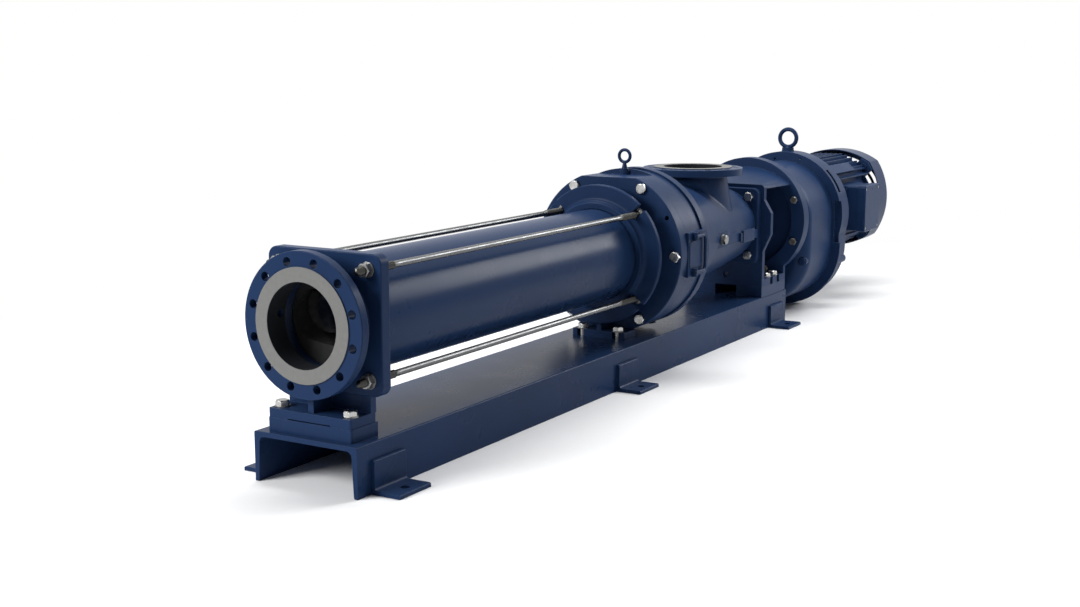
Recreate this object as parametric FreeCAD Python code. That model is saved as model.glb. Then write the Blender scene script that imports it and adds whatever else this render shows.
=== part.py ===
import FreeCAD, Part
import math
import os
from FreeCAD import Vector

# Progressive cavity pump with its geared motor on a channel base.
# The pump is drawn in its own coordinates: x runs along the pump axis from the face of
# the discharge flange to the motor, y is across, z is up from the pump axis. At the end
# every piece is moved once, so that the part's origin lies on the floor in the middle
# of the four outer anchor holes.

# Running and seating clearances
SHAFT_GAP = 0.05        # radial gap of a shaft that turns in a bearing or eye
SEAT_GAP = 0.3          # radial gap of a piece that seats in a recess
HOLE_GAP = 0.5          # radial gap of a bolt in its hole
FLOW_GAP = 0.8          # gap between the rotor and the cavity of the lining
AIR_GAP = 1.0           # gap between the motor's rotor and its stator

# Base channel and its feet
BASE_WIDTH = 300.0
BASE_HEIGHT = 120.0
BASE_WEB = 12.0
BASE_LEG_ROOT = 16.0
BASE_LEG_TIP = 11.0
BASE_ROOT_RADIUS = 14.0
BASE_EDGE_RADIUS = 4.0
BASE_CLEARANCE = 10.0   # gap between the drum and the channel
BASE_REAR_PROUD = 6.0   # length of the channel behind the lantern
FOOT_LEG = 80.0
FOOT_WALL = 10.0
FOOT_LENGTH = 120.0
FOOT_FIRST = 49.0       # from the base's front end to the first foot
FOOT_LAST = 47.0        # from the last foot to the base's rear end
FOOT_ROWS = 3
FOOT_RADIUS = 8.0
ANCHOR_HOLE = 22.0
ANCHOR_OFFSET = 50.0    # from the channel's side to the hole

# Pipe flanges, both of one size
FLANGE_DIA = 340.0
FLANGE_THICK = 26.0
FLANGE_FACE_DIA = 268.0
FLANGE_FACE_RISE = 3.0
FLANGE_CIRCLE = 295.0
FLANGE_HOLE = 22.0
FLANGE_HOLES = 12
PORT_BORE = 200.0

# Discharge branch
BRANCH_REACH = 82.0     # from the flange face to the clamp plate
BRANCH_NECK_DIA = 244.0
BRANCH_FLARE = 12.0     # rise of the neck's foot behind the flange
CLAMP_PLATE_HALF = 163.0
CLAMP_PLATE_THICK = 30.0
CLAMP_PLATE_RADIUS = 25.0
FOOT_PLATE_HALF = 120.0
FOOT_PLATE_THICK = 23.0
FOOT_PLATE_START = 18.0
FOOT_RELIEF_HALF = 62.0
FOOT_RELIEF_DEPTH = 3.0
SPACER_THICK = 32.0
SPACER_LENGTH = 100.0
RIB_THICK = 16.0
BACK_WALL_THICK = 20.0
BRANCH_BOLT_X = 44.0
BRANCH_BOLT_Y = 100.0
GAUGE_X = 46.0
GAUGE_Z = 14.0

# Stator
STATOR_DIA = 280.0
STATOR_WALL = 10.0
CLAMP_SPAN = 1264.0     # from the clamp plate to the clamp flange
SEAT_DEPTH = 12.0
SEAL_THICK = 3.0
SEAL_WIDTH = 20.0
LINING_SETBACK = 3.0

# Rotor: a round section whose centre runs round the rotor axis on a helix
ROTOR_SECTION_DIA = 120.0
ECCENTRICITY = 25.0
ROTOR_PITCH = 630.0
ROTOR_START = 150.0
ROTOR_FACETS = 20       # sides of the section
ROTOR_STEPS = 24        # slices to a turn
SLOT_PARTS = 4          # parts of each straight side of the cavity's section

# Tie rods
TIE_OFFSET = 127.0
TIE_SHANK_DIA = 16.0
TIE_SIZE = 20.0         # also the size of the foot bolts, so the washers are alike
TIE_FRONT_PROUD = 40.0
TIE_REAR_PROUD = 24.0
TIE_THREAD_LENGTH = 130.0

# Casing cover: clamp flange, neck and cover plate in one casting
CLAMP_FLANGE_DIA = 426.0
CLAMP_FLANGE_THICK = 19.0
HUB_DIA = 320.0
HUB_LENGTH = 18.0
TUBE_ENGAGE = 8.0       # depth of the tube's seat behind the clamp flange's face
HUB_LINE_GAP = 1.5
HUB_FILLET = 14.0
NUT_POCKET_DIA = 40.0
COVER_NECK_DIA = 330.0
COVER_NECK_LENGTH = 53.0
COVER_DIA = 500.0
COVER_THICK = 47.0
COVER_BORE = 244.0
COVER_FLAT_DEPTH = 19.0 # depth of the flat on top, below the rim
COVER_BOLT_INSET = 19.0 # from the rim to the bolts
COVER_BOLTS = 6
COVER_BOLT_SIZE = 20.0
JACKING_HOLE = 14.0
MID_FOOT_SETBACK = 12.0
MID_FOOT_LENGTH = 82.0
MID_FOOT_HALF = 90.0
MID_FOOT_THICK = 23.0
MID_BOLT_Y = 61.0
MID_BOLT_SETBACK = 16.0
FOOT_BOLT_SIZE = TIE_SIZE
LONG_GRIP = 77.0        # shank of the six long bolts in the feet
SHORT_GRIP = 46.0       # shank of the bolts in the cover's foot and the casing's end
SLOT_PLAY = 4.0         # width of an open bolt slot beyond the bolt

# Access drum
DRUM_LENGTH = 122.0
DRUM_GROOVE_LENGTH = 52.0
DRUM_GROOVE_DEPTH = 6.0
DRUM_WALL = 40.0
FLAT_ON_DRUM = 66.0
GASKET_WIDTH = 6.0
GASKET_THICK = 4.0
PAD_HALF_HEIGHT = 68.0
PAD_PROUD = 2.0
PAD_PANEL = 2.0
EYE_X_ON_DRUM = 60.0
EYE_BOSS_DROP = 6.0     # top of the boss below the drum's rim
EYE_BOSS_DIA = 30.0
COVER_EYE_RISE = 45.0   # centre of the ring above its seat
COVER_EYE_OUTER = 24.0
COVER_EYE_INNER = 14.0
COVER_EYE_COLLAR = 26.0
COVER_EYE_SCREW = 12.0
COVER_EYE_DEPTH = 18.0
DRAIN_ANGLE = -104.0
DRAIN_SIZE = 15.0

# Pull handles on the pads
HANDLE_DIA = 10.0
HANDLE_HALF = 55.0
HANDLE_REACH = 73.0
HANDLE_STANDOFF = 8.0
HANDLE_PIVOT_X = 32.0   # from the drum's front
HANDLE_CORNER = 16.0
HANDLE_EYE_DIA = 15.0
HANDLE_EYE_HEIGHT = 10.0
HANDLE_PIN_DIA = 7.0
HANDLE_EAR = 7.0
HANDLE_EAR_GAP = 0.5

# Suction casing
CASING_FLANGE_LENGTH = 36.0
CASING_LENGTH = 721.0
CASING_FRONT_DIA = 400.0
CASING_REAR_DIA = 260.0
CASING_WALL = 13.0
SUCTION_FROM_FLANGE = 442.0   # from the casing's front face to the suction branch
SUCTION_HEIGHT = 225.0
SUCTION_NECK_TOP_DIA = 228.0
SUCTION_NECK_BASE_DIA = 306.0
NECK_FILLET = 22.0
NECK_TOP_FILLET = 8.0
END_FLANGE_HALF_WIDTH = 138.0
END_FLANGE_HALF_HEIGHT = 134.0
END_FLANGE_THICK = 26.0
END_FLANGE_RADIUS = 22.0
END_BOLT_OFFSET = 104.0
END_BOLT_SIZE = 20.0
END_WALL = 22.0
SIDE_BOSS_FACE = 174.0
SIDE_PLUG_X = -132.0
SIDE_PLUG_Z = -3.0
PLUG_SIZE = 20.0
PLUG_DEPTH = 18.0

# Lantern between the casing and the gearbox
LANTERN_LENGTH = 232.0
LANTERN_FRONT_THICK = 22.0
LANTERN_REAR_THICK = 25.0
LANTERN_HALF = 150.0
LANTERN_BULGE = 178.0
LANTERN_TOP = 146.0
LANTERN_WINDOW_TOP = 131.0
LANTERN_REAR_TOP = 192.0
LANTERN_REAR_HALF = 167.0
HOOD_CORNER = 14.0
HOOD_EDGE = 3.0
LEG_SETBACK = 8.0
LANTERN_WALL = 14.0
LANTERN_REAR_BORE = 350.0
LANTERN_FOOT_THICK = 25.0
LANTERN_SPACER_THICK = 38.0
LANTERN_BOLT_Y = 128.0
LANTERN_BOLT_X = (92.0, 155.0)
TUNNEL_NEAR = -52.0
TUNNEL_FAR = 31.0
DRAIN_HOLE = 22.0
DRAIN_HOLE_RISE = 12.0  # above the lantern's foot

# Gearbox
GEAR_FLANGE_DIA = 450.0
GEAR_FLANGE_THICK = 25.0
GEAR_FLANGE_CIRCLE = 400.0
GEAR_FLANGE_BOLTS = 8
GEAR_FLANGE_BOLT_SIZE = 16.0
GEAR_NECK_DIA = 384.0
GEAR_NECK_LENGTH = 40.0
GEAR_BODY_RADIUS = 205.0
GEAR_BODY_LENGTH = 265.0
GEAR_BODY_FILLET = 50.0
GEAR_TOP_DROP = 13.0    # centre of the upper arc below the pump axis
GEAR_LOW_DROP = 135.0   # centre of the lower arc below the pump axis
GEAR_RIM_RADIUS = 240.0
GEAR_RIM_THICK = 18.0
GEAR_LOW_RADIUS = 229.0   # lower half of the rear housing
GEAR_REAR_LENGTH = 82.0
GEAR_WALL = 15.0
GEAR_REAR_WALL = 25.0
GEAR_POCKET = 22.0
RECESS_TOP = 44.0
RECESS_LOW = -118.0
GEAR_SCREW_SIZE = 12.0
DOWEL_HOLE = 9.0
LIFT_BOSS_DIA = 48.0
LIFT_BOSS_SETBACK = 2.0
LIFT_BOSS_TOP = 231.0
LIFT_EYE_RISE = 47.0
LIFT_EYE_OUTER = 42.0
LIFT_EYE_INNER = 26.0
LIFT_EYE_COLLAR = 46.0
LIFT_EYE_SCREW = 20.0
LIFT_EYE_DEPTH = 28.0

# Gear train, spur gears of one module
MODULE = 5.0
OUTPUT_TEETH = 44
LAY_PINION_TEETH = 20
LAY_GEAR_TEETH = 44
INPUT_TEETH = 20
GEAR_WIDTH = 46.0
INPUT_GEAR_WIDTH = 34.0
TOOTH_SHARE = 0.40      # tooth width on the pitch circle as a share of the pitch

# Motor
MOTOR_FRAME_LENGTH = 470.0
MOTOR_FRAME_RADIUS = 160.0
MOTOR_FRAME_WALL = 10.0
MOTOR_FIN_RADIUS = 196.0
MOTOR_FIN_THICK = 5.0
MOTOR_FIN_PITCH = 22.0
MOTOR_PAD_START = 24.0
MOTOR_PAD_LENGTH = 296.0
MOTOR_PAD_WIDTH = 44.0
MOTOR_PAD_THICK = 12.0
MOTOR_PAD_ANGLE = 42.0
SHIELD_RIM = 12.0        # from the frame's end to the cowl
COWL_HALF = 204.0
COWL_SIDE_RADIUS = 285.0   # the cowl's four sides are flat arcs
COWL_CORNER = 12.0
COWL_OVERLAP = 10.0       # reach of the end shield's ears into the cowl
COWL_LENGTH = 118.0
COWL_WALL = 4.0
CORE_LENGTH = 300.0
CORE_BORE = 190.0
BOX_LENGTH = 173.0
BOX_HEIGHT = 180.0
BOX_START = 114.0
BOX_FACE = 267.0
BOX_LID = 34.0
BOX_DROP = 5.0
BOX_RADIUS = 10.0
FAN_RADIUS = 166.0
FAN_BLADES = 9
GRILLE_RINGS = 6
GRILLE_RIBS = 8

# Shafts, seal and joints
SHAFT_DIA = 100.0
OUTPUT_SHAFT_DIA = 80.0
BEARING_WIDTH = 30.0
OUTPUT_BEARING_DIA = 150.0
LAY_SHAFT_DIA = 50.0
LAY_BEARING_DIA = 100.0
MOTOR_SHAFT_DIA = 60.0
MOTOR_BEARING_DIA = 120.0
MOTOR_BEARING_WIDTH = 24.0
JOINT_HEAD_DIA = 150.0
JOINT_CAVITY_DIA = 116.0
JOINT_HEAD_LENGTH = 86.0
ROD_DIA = 64.0
JOINT_PIN_DIA = 28.0
JOINT_HEAD_HALF = 28.0    # half the length of the rod's crowned heads
BOOT_THICK = 14.0
BOOT_PLAY = 3.0
BOOT_SEAT = 5.0         # reach of the boot into the socket
SEAL_SEAT_DIA = 140.0
SEAL_RING_WIDTH = 14.0

# Sizes that follow from the drum's
AXIS_HEIGHT = BASE_HEIGHT + BASE_CLEARANCE + COVER_DIA / 2
COVER_FLAT = COVER_DIA / 2 - COVER_FLAT_DEPTH
COVER_BOLT_CIRCLE = COVER_DIA - 2 * COVER_BOLT_INSET
DRUM_BORE = COVER_DIA - 2 * DRUM_WALL
PAD_FACE = COVER_DIA / 2 + PAD_PROUD
EYE_BOSS_TOP = COVER_DIA / 2 - EYE_BOSS_DROP

# Stations along the pump axis
FLOOR = -AXIS_HEIGHT
BASE_TOP = FLOOR + BASE_HEIGHT
PLATE_END = BRANCH_REACH + CLAMP_PLATE_THICK
CLAMP = PLATE_END + CLAMP_SPAN
NECK = CLAMP + CLAMP_FLANGE_THICK
COVER = NECK + COVER_NECK_LENGTH
DRUM = COVER + COVER_THICK
CASING = DRUM + DRUM_LENGTH
LANTERN = CASING + CASING_LENGTH
END_FLANGE = LANTERN - END_FLANGE_THICK
GEARBOX = LANTERN + LANTERN_LENGTH
GEAR_NECK = GEARBOX + GEAR_FLANGE_THICK
GEAR_BODY = GEAR_NECK + GEAR_NECK_LENGTH
GEAR_RIM = GEAR_BODY + GEAR_BODY_LENGTH
GEAR_REAR = GEAR_RIM + GEAR_RIM_THICK
MOTOR = GEAR_REAR + GEAR_REAR_LENGTH
MOTOR_END = MOTOR + MOTOR_FRAME_LENGTH + SHIELD_RIM + COWL_LENGTH
BASE_LENGTH = GEARBOX + BASE_REAR_PROUD
FOOT_PITCH = (BASE_LENGTH - FOOT_FIRST - FOOT_LAST - FOOT_LENGTH) / (FOOT_ROWS - 1)
SUCTION = CASING + SUCTION_FROM_FLANGE
TUBE_START = PLATE_END - SEAT_DEPTH + SEAL_THICK
TUBE_END = CLAMP + TUBE_ENGAGE - SEAL_THICK
ROTOR_HEAD = CLAMP + CLAMP_FLANGE_THICK
SHAFT_HEAD_END = LANTERN - 130.0
OUTPUT_CENTRE = MODULE * (OUTPUT_TEETH + LAY_PINION_TEETH) / 2
INPUT_CENTRE = MODULE * (LAY_GEAR_TEETH + INPUT_TEETH) / 2
LAY_DROP = OUTPUT_CENTRE
MOTOR_DROP = OUTPUT_CENTRE - INPUT_CENTRE
ANCHOR_FIRST = FOOT_FIRST + FOOT_LENGTH / 2
ANCHOR_MIDDLE = ANCHOR_FIRST + FOOT_PITCH * (FOOT_ROWS - 1) / 2

AXIS_X = Vector(1, 0, 0)
AXIS_Y = Vector(0, 1, 0)
AXIS_Z = Vector(0, 0, 1)


def rod(x0, x1, radius, y=0.0, z=0.0):
    """Round bar along x."""
    return Part.makeCylinder(radius, x1 - x0, Vector(x0, y, z), AXIS_X)


def ring(x0, x1, outer, inner, y=0.0, z=0.0):
    """Round bar along x with a round hole."""
    return rod(x0, x1, outer, y, z).cut(rod(x0 - 1, x1 + 1, inner, y, z))


def bar(base, direction, radius, length):
    """Round bar from a point in any direction."""
    return Part.makeCylinder(radius, length, base, direction)


def box(x0, x1, y0, y1, z0, z1):
    """Rectangular block between two corners."""
    return Part.makeBox(x1 - x0, y1 - y0, z1 - z0, Vector(x0, y0, z0))


def turned(profile, y=0.0, z=0.0):
    """Solid turned about the x direction from a closed outline of (x, radius) points."""
    points = [Vector(x, y, z + r) for x, r in profile]
    face = Part.Face(Part.makePolygon(points + points[:1]))
    return face.revolve(Vector(0, y, z), AXIS_X, 360)


def prism_x(outline, x0, x1):
    """Flat outline of (y, z) points carried along x."""
    points = [Vector(x0, y, z) for y, z in outline]
    return Part.Face(Part.makePolygon(points + points[:1])).extrude(Vector(x1 - x0, 0, 0))


def square_plate(x0, x1, half_width, half_height, radius):
    """Plate across the axis with rounded corners."""
    plate = box(x0, x1, -half_width, half_width, -half_height, half_height)
    return rounded(plate, radius, lambda e: along(e, AXIS_X))


def along(edge, direction):
    """True if an edge is straight and runs in the direction."""
    if edge.Curve.TypeId != "Part::GeomLine":
        return False
    return edge.tangentAt(edge.FirstParameter).cross(direction).Length < 1e-6


def rounded(shape, radius, wanted):
    """Fillet on the edges that the test picks."""
    return shape.makeFillet(radius, [e for e in shape.Edges if wanted(e)])


def bevelled(shape, size, wanted):
    """Chamfer on the edges that the test picks."""
    return shape.makeChamfer(size, [e for e in shape.Edges if wanted(e)])


def joined(shapes):
    """One solid from shapes that overlap or touch."""
    return shapes[0].multiFuse(shapes[1:]).removeSplitter()


def group(shapes):
    """Separate solids kept side by side."""
    return Part.makeCompound([s for shape in shapes for s in shape.Solids])


def mirrored(shape):
    """Copy on the other side of the pump's middle plane."""
    return shape.mirror(Vector(0, 0, 0), AXIS_Y)


def angles(count, first=0.0):
    """Equal steps round a circle, in degrees from the +y side towards the top."""
    return [first + 360.0 * i / count for i in range(count)]


def polar(radius, angle, z=0.0):
    """The (y, z) place at an angle on a circle about the axis."""
    turn = math.radians(angle)
    return radius * math.cos(turn), z + radius * math.sin(turn)


def hexagon(base, direction, flats, height):
    """Six-sided prism with its corners turned down on the outer face."""
    direction = Vector(direction).normalize()
    helper = AXIS_Z if abs(direction.z) < 0.9 else AXIS_X
    side = direction.cross(helper).normalize()
    other = direction.cross(side)
    corner = flats / math.sqrt(3)
    points = []
    for i in range(6):
        turn = math.radians(60 * i)
        points.append(base + side * (corner * math.cos(turn)) + other * (corner * math.sin(turn)))
    prism = Part.Face(Part.makePolygon(points + points[:1])).extrude(direction * height)
    turned_down = Part.makeCone(corner + height * 0.8, flats * 0.47, height, base, direction)
    return prism.common(turned_down)


def hex_bolt(seat, direction, size, grip):
    """Hexagon bolt: the head stands on its seat, the shank goes the other way."""
    direction = Vector(direction).normalize()
    head = hexagon(seat, direction, 1.5 * size, 0.63 * size)
    return head.fuse(bar(seat, -direction, size / 2, grip)).removeSplitter()


def hex_nut(seat, direction, size):
    """Hexagon nut with a plain bore, standing on its seat."""
    direction = Vector(direction).normalize()
    body = hexagon(seat, direction, 1.5 * size, 0.85 * size)
    return body.cut(bar(seat - direction, direction, size / 2 + SHAFT_GAP, 2 * size))


def washer(seat, direction, size):
    """Flat washer on its seat."""
    direction = Vector(direction).normalize()
    thick = washer_thick(size)
    body = bar(seat, direction, 0.92 * size, thick)
    return body.cut(bar(seat - direction, direction, size / 2 + HOLE_GAP, 2 * thick + 2))


def washer_thick(size):
    """Thickness of a washer for a bolt size."""
    return 0.15 * size


def bolt_hole(seat, direction, size, depth):
    """Clearance hole for a bolt, cut away from its seat."""
    direction = Vector(direction).normalize()
    return bar(seat + direction, -direction, size / 2 + HOLE_GAP, depth + 2)


def twisted(section, pitch, x0, x1, steps):
    """Solid swept along x while its section turns once in every pitch.

    The section gives the (y, z) points of its outline for a turn in radians. Flat
    triangles join one slice to the next, split along the diagonal that lies outside
    the true surface, so that a hollow cut with the solid is never too narrow.
    """
    slices = max(2, round((x1 - x0) / pitch * steps))
    rows = []
    for i in range(slices + 1):
        x = x0 + (x1 - x0) * i / slices
        rows.append([Vector(x, y, z) for y, z in section(2 * math.pi * (x - x0) / pitch)])
    faces = [Part.Face(Part.makePolygon(row + row[:1])) for row in (rows[0], rows[-1])]
    count = len(rows[0])
    for near, far in zip(rows, rows[1:]):
        for j in range(count):
            k = (j + 1) % count
            faces.append(Part.Face(Part.makePolygon([near[j], near[k], far[j], near[j]])))
            faces.append(Part.Face(Part.makePolygon([near[k], far[k], far[j], near[k]])))
    solid = Part.Solid(Part.Shell(faces))
    if solid.Volume < 0:
        solid.reverse()
    return solid


def rotor_section(turn):
    """Round section whose centre stands off the rotor axis by the eccentricity."""
    points = []
    for i in range(ROTOR_FACETS):
        a = 2 * math.pi * i / ROTOR_FACETS
        y = ECCENTRICITY * math.cos(turn) + ROTOR_SECTION_DIA / 2 * math.cos(a)
        z = ECCENTRICITY * math.sin(turn) + ROTOR_SECTION_DIA / 2 * math.sin(a)
        points.append((y, z))
    return points


def cavity_section(turn):
    """Slot with round ends that the rotor's section slides along, turned by half."""
    half_sides = ROTOR_FACETS // 2
    outer = (ROTOR_SECTION_DIA / 2 + FLOW_GAP) / math.cos(math.pi / ROTOR_FACETS)
    reach = 2 * ECCENTRICITY
    outline = []
    for i in range(half_sides + 1):
        a = math.pi * i / half_sides - math.pi / 2
        outline.append((reach + outer * math.cos(a), outer * math.sin(a)))
    outline += [(reach * (1 - 2 * i / SLOT_PARTS), outer) for i in range(1, SLOT_PARTS)]
    outline += [(-y, -z) for y, z in outline]
    return [(y * math.cos(turn) - z * math.sin(turn), y * math.sin(turn) + z * math.cos(turn))
            for y, z in outline]


def pipe_flange(bore):
    """Flange with a raised face at x = 0, its holes astride the centre line."""
    disc = turned([(0, bore / 2), (0, FLANGE_FACE_DIA / 2), (FLANGE_FACE_RISE, FLANGE_FACE_DIA / 2),
                   (FLANGE_FACE_RISE, FLANGE_DIA / 2 - 1.5), (FLANGE_FACE_RISE + 1.5, FLANGE_DIA / 2),
                   (FLANGE_THICK, FLANGE_DIA / 2), (FLANGE_THICK, bore / 2)])
    for a in angles(FLANGE_HOLES, 180.0 / FLANGE_HOLES):
        y, z = polar(FLANGE_CIRCLE / 2, a)
        disc = disc.cut(rod(-1, FLANGE_THICK + 1, FLANGE_HOLE / 2, y, z))
    return disc


def gear(teeth, x0, x1, bore, z, phase):
    """Spur gear with straight flanks; a tooth stands at the phase, in degrees."""
    pitch_radius = MODULE * teeth / 2
    step = 2 * math.pi / teeth
    root = pitch_radius - 1.25 * MODULE
    tip = pitch_radius + 0.95 * MODULE
    half = TOOTH_SHARE * step / 2
    lean = math.tan(math.radians(20)) * MODULE / pitch_radius
    outline = []
    for i in range(teeth):
        mid = math.radians(phase) + i * step
        for turn, radius in ((-half - 1.1 * lean, root), (-half + 0.85 * lean, tip),
                             (half - 0.85 * lean, tip), (half + 1.1 * lean, root)):
            outline.append((radius * math.cos(mid + turn), z + radius * math.sin(mid + turn)))
    return prism_x(outline, x0, x1).cut(rod(x0 - 1, x1 + 1, bore / 2, 0, z))


def eye_bolt(x, seat_z, rise, outer, inner, collar, shank, depth):
    """Lifting eye: a ring across the view on a collar, with its shank in the casting."""
    wire = (outer - inner) / 2
    centre_z = seat_z + rise
    eye = Part.makeTorus((outer + inner) / 2, wire, Vector(x, 0, centre_z), AXIS_X)
    foot = bar(Vector(x, 0, seat_z), AXIS_Z, collar / 2, wire * 1.2)
    neck_top = centre_z - inner - wire * 0.6
    neck = Part.makeCone(collar / 2 * 0.8, wire * 0.9, neck_top - seat_z, Vector(x, 0, seat_z), AXIS_Z)
    screw = bar(Vector(x, 0, seat_z - depth), AXIS_Z, shank / 2, depth + 1)
    return joined([eye, foot, neck, screw])


def oval(x0, x1, radius):
    """Gearbox section: two arcs, one over the other, joined by upright sides."""
    top = rod(x0, x1, radius, 0, -GEAR_TOP_DROP)
    low = rod(x0, x1, radius, 0, -GEAR_LOW_DROP)
    return joined([top, low, box(x0, x1, -radius, radius, -GEAR_LOW_DROP, -GEAR_TOP_DROP)])


class Fasteners:
    """Collects the fasteners that are alike, so that each kind becomes one group."""

    def __init__(self):
        self.kinds = {}

    def add(self, kind, *shapes):
        """Put shapes of one kind in store."""
        self.kinds.setdefault(kind, []).extend(shapes)

    def store(self, parts):
        """Make one group of every kind."""
        for kind, shapes in self.kinds.items():
            parts[kind] = group(shapes)


def base_frame(parts):
    """Channel with its legs down, and the angle feet along both sides."""
    half = BASE_WIDTH / 2
    web_low = BASE_TOP - BASE_WEB
    outline = [(-half, BASE_TOP), (half, BASE_TOP), (half, FLOOR), (half - BASE_LEG_TIP, FLOOR),
               (half - BASE_LEG_ROOT, web_low), (BASE_LEG_ROOT - half, web_low),
               (BASE_LEG_TIP - half, FLOOR), (-half, FLOOR)]
    channel = prism_x(outline, 0, BASE_LENGTH)
    channel = rounded(channel, BASE_ROOT_RADIUS, lambda e: along(e, AXIS_X)
                      and abs(e.CenterOfMass.z - web_low) < 1)
    channel = rounded(channel, BASE_EDGE_RADIUS, lambda e: along(e, AXIS_X)
                      and (abs(e.CenterOfMass.z - BASE_TOP) < 1
                           or abs(abs(e.CenterOfMass.y) - half + BASE_LEG_TIP) < 1))
    for x, y, size in hold_down_places():
        channel = channel.cut(bar(Vector(x, y, BASE_TOP + 1), -AXIS_Z, size / 2 + SHAFT_GAP, BASE_WEB + 2))
    parts["base_channel"] = channel

    feet = []
    for row in range(FOOT_ROWS):
        start = FOOT_FIRST + row * FOOT_PITCH
        upright = box(start, start + FOOT_LENGTH, half, half + FOOT_WALL, FLOOR, FLOOR + FOOT_LEG)
        sole = box(start, start + FOOT_LENGTH, half, half + FOOT_LEG, FLOOR, FLOOR + FOOT_WALL)
        angle = joined([upright, sole])
        angle = rounded(angle, FOOT_RADIUS, lambda e: along(e, AXIS_X)
                        and abs(e.CenterOfMass.y - half - FOOT_WALL) < 0.1
                        and abs(e.CenterOfMass.z - FLOOR - FOOT_WALL) < 0.1)
        angle = rounded(angle, FOOT_WALL * 0.4, lambda e: along(e, AXIS_X)
                        and e.CenterOfMass.z > FLOOR + FOOT_WALL - 0.1
                        and (e.CenterOfMass.y > half + FOOT_LEG - 1
                             or e.CenterOfMass.z > FLOOR + FOOT_LEG - 1)
                        and e.CenterOfMass.y > half + 1)
        hole = bar(Vector(start + FOOT_LENGTH / 2, half + ANCHOR_OFFSET, FLOOR - 1), AXIS_Z,
                   ANCHOR_HOLE / 2, FOOT_WALL + 2)
        angle = angle.cut(hole)
        feet += [angle, mirrored(angle)]
    parts["anchor_feet"] = group(feet)


def hold_down_places():
    """Every bolt through the channel's top: its x, y and size."""
    places = []
    for side in (1, -1):
        places.append((BRANCH_BOLT_X, side * BRANCH_BOLT_Y, TIE_SIZE))
        places.append((COVER - COVER_NECK_LENGTH - CLAMP_FLANGE_THICK + MID_FOOT_SETBACK
                       + MID_BOLT_SETBACK, side * MID_BOLT_Y, FOOT_BOLT_SIZE))
        places += [(LANTERN + x, side * LANTERN_BOLT_Y, END_BOLT_SIZE) for x in LANTERN_BOLT_X]
    return places


def hold_down(fasteners, kind, x, y, seat, grip):
    """Bolt and washer on a seat; the bolt screws into the top of the channel."""
    top = Vector(x, y, seat)
    lift = AXIS_Z * washer_thick(FOOT_BOLT_SIZE)
    fasteners.add(kind, hex_bolt(top + lift, AXIS_Z, FOOT_BOLT_SIZE, grip))
    fasteners.add("large_washers", washer(top, AXIS_Z, FOOT_BOLT_SIZE))


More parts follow.
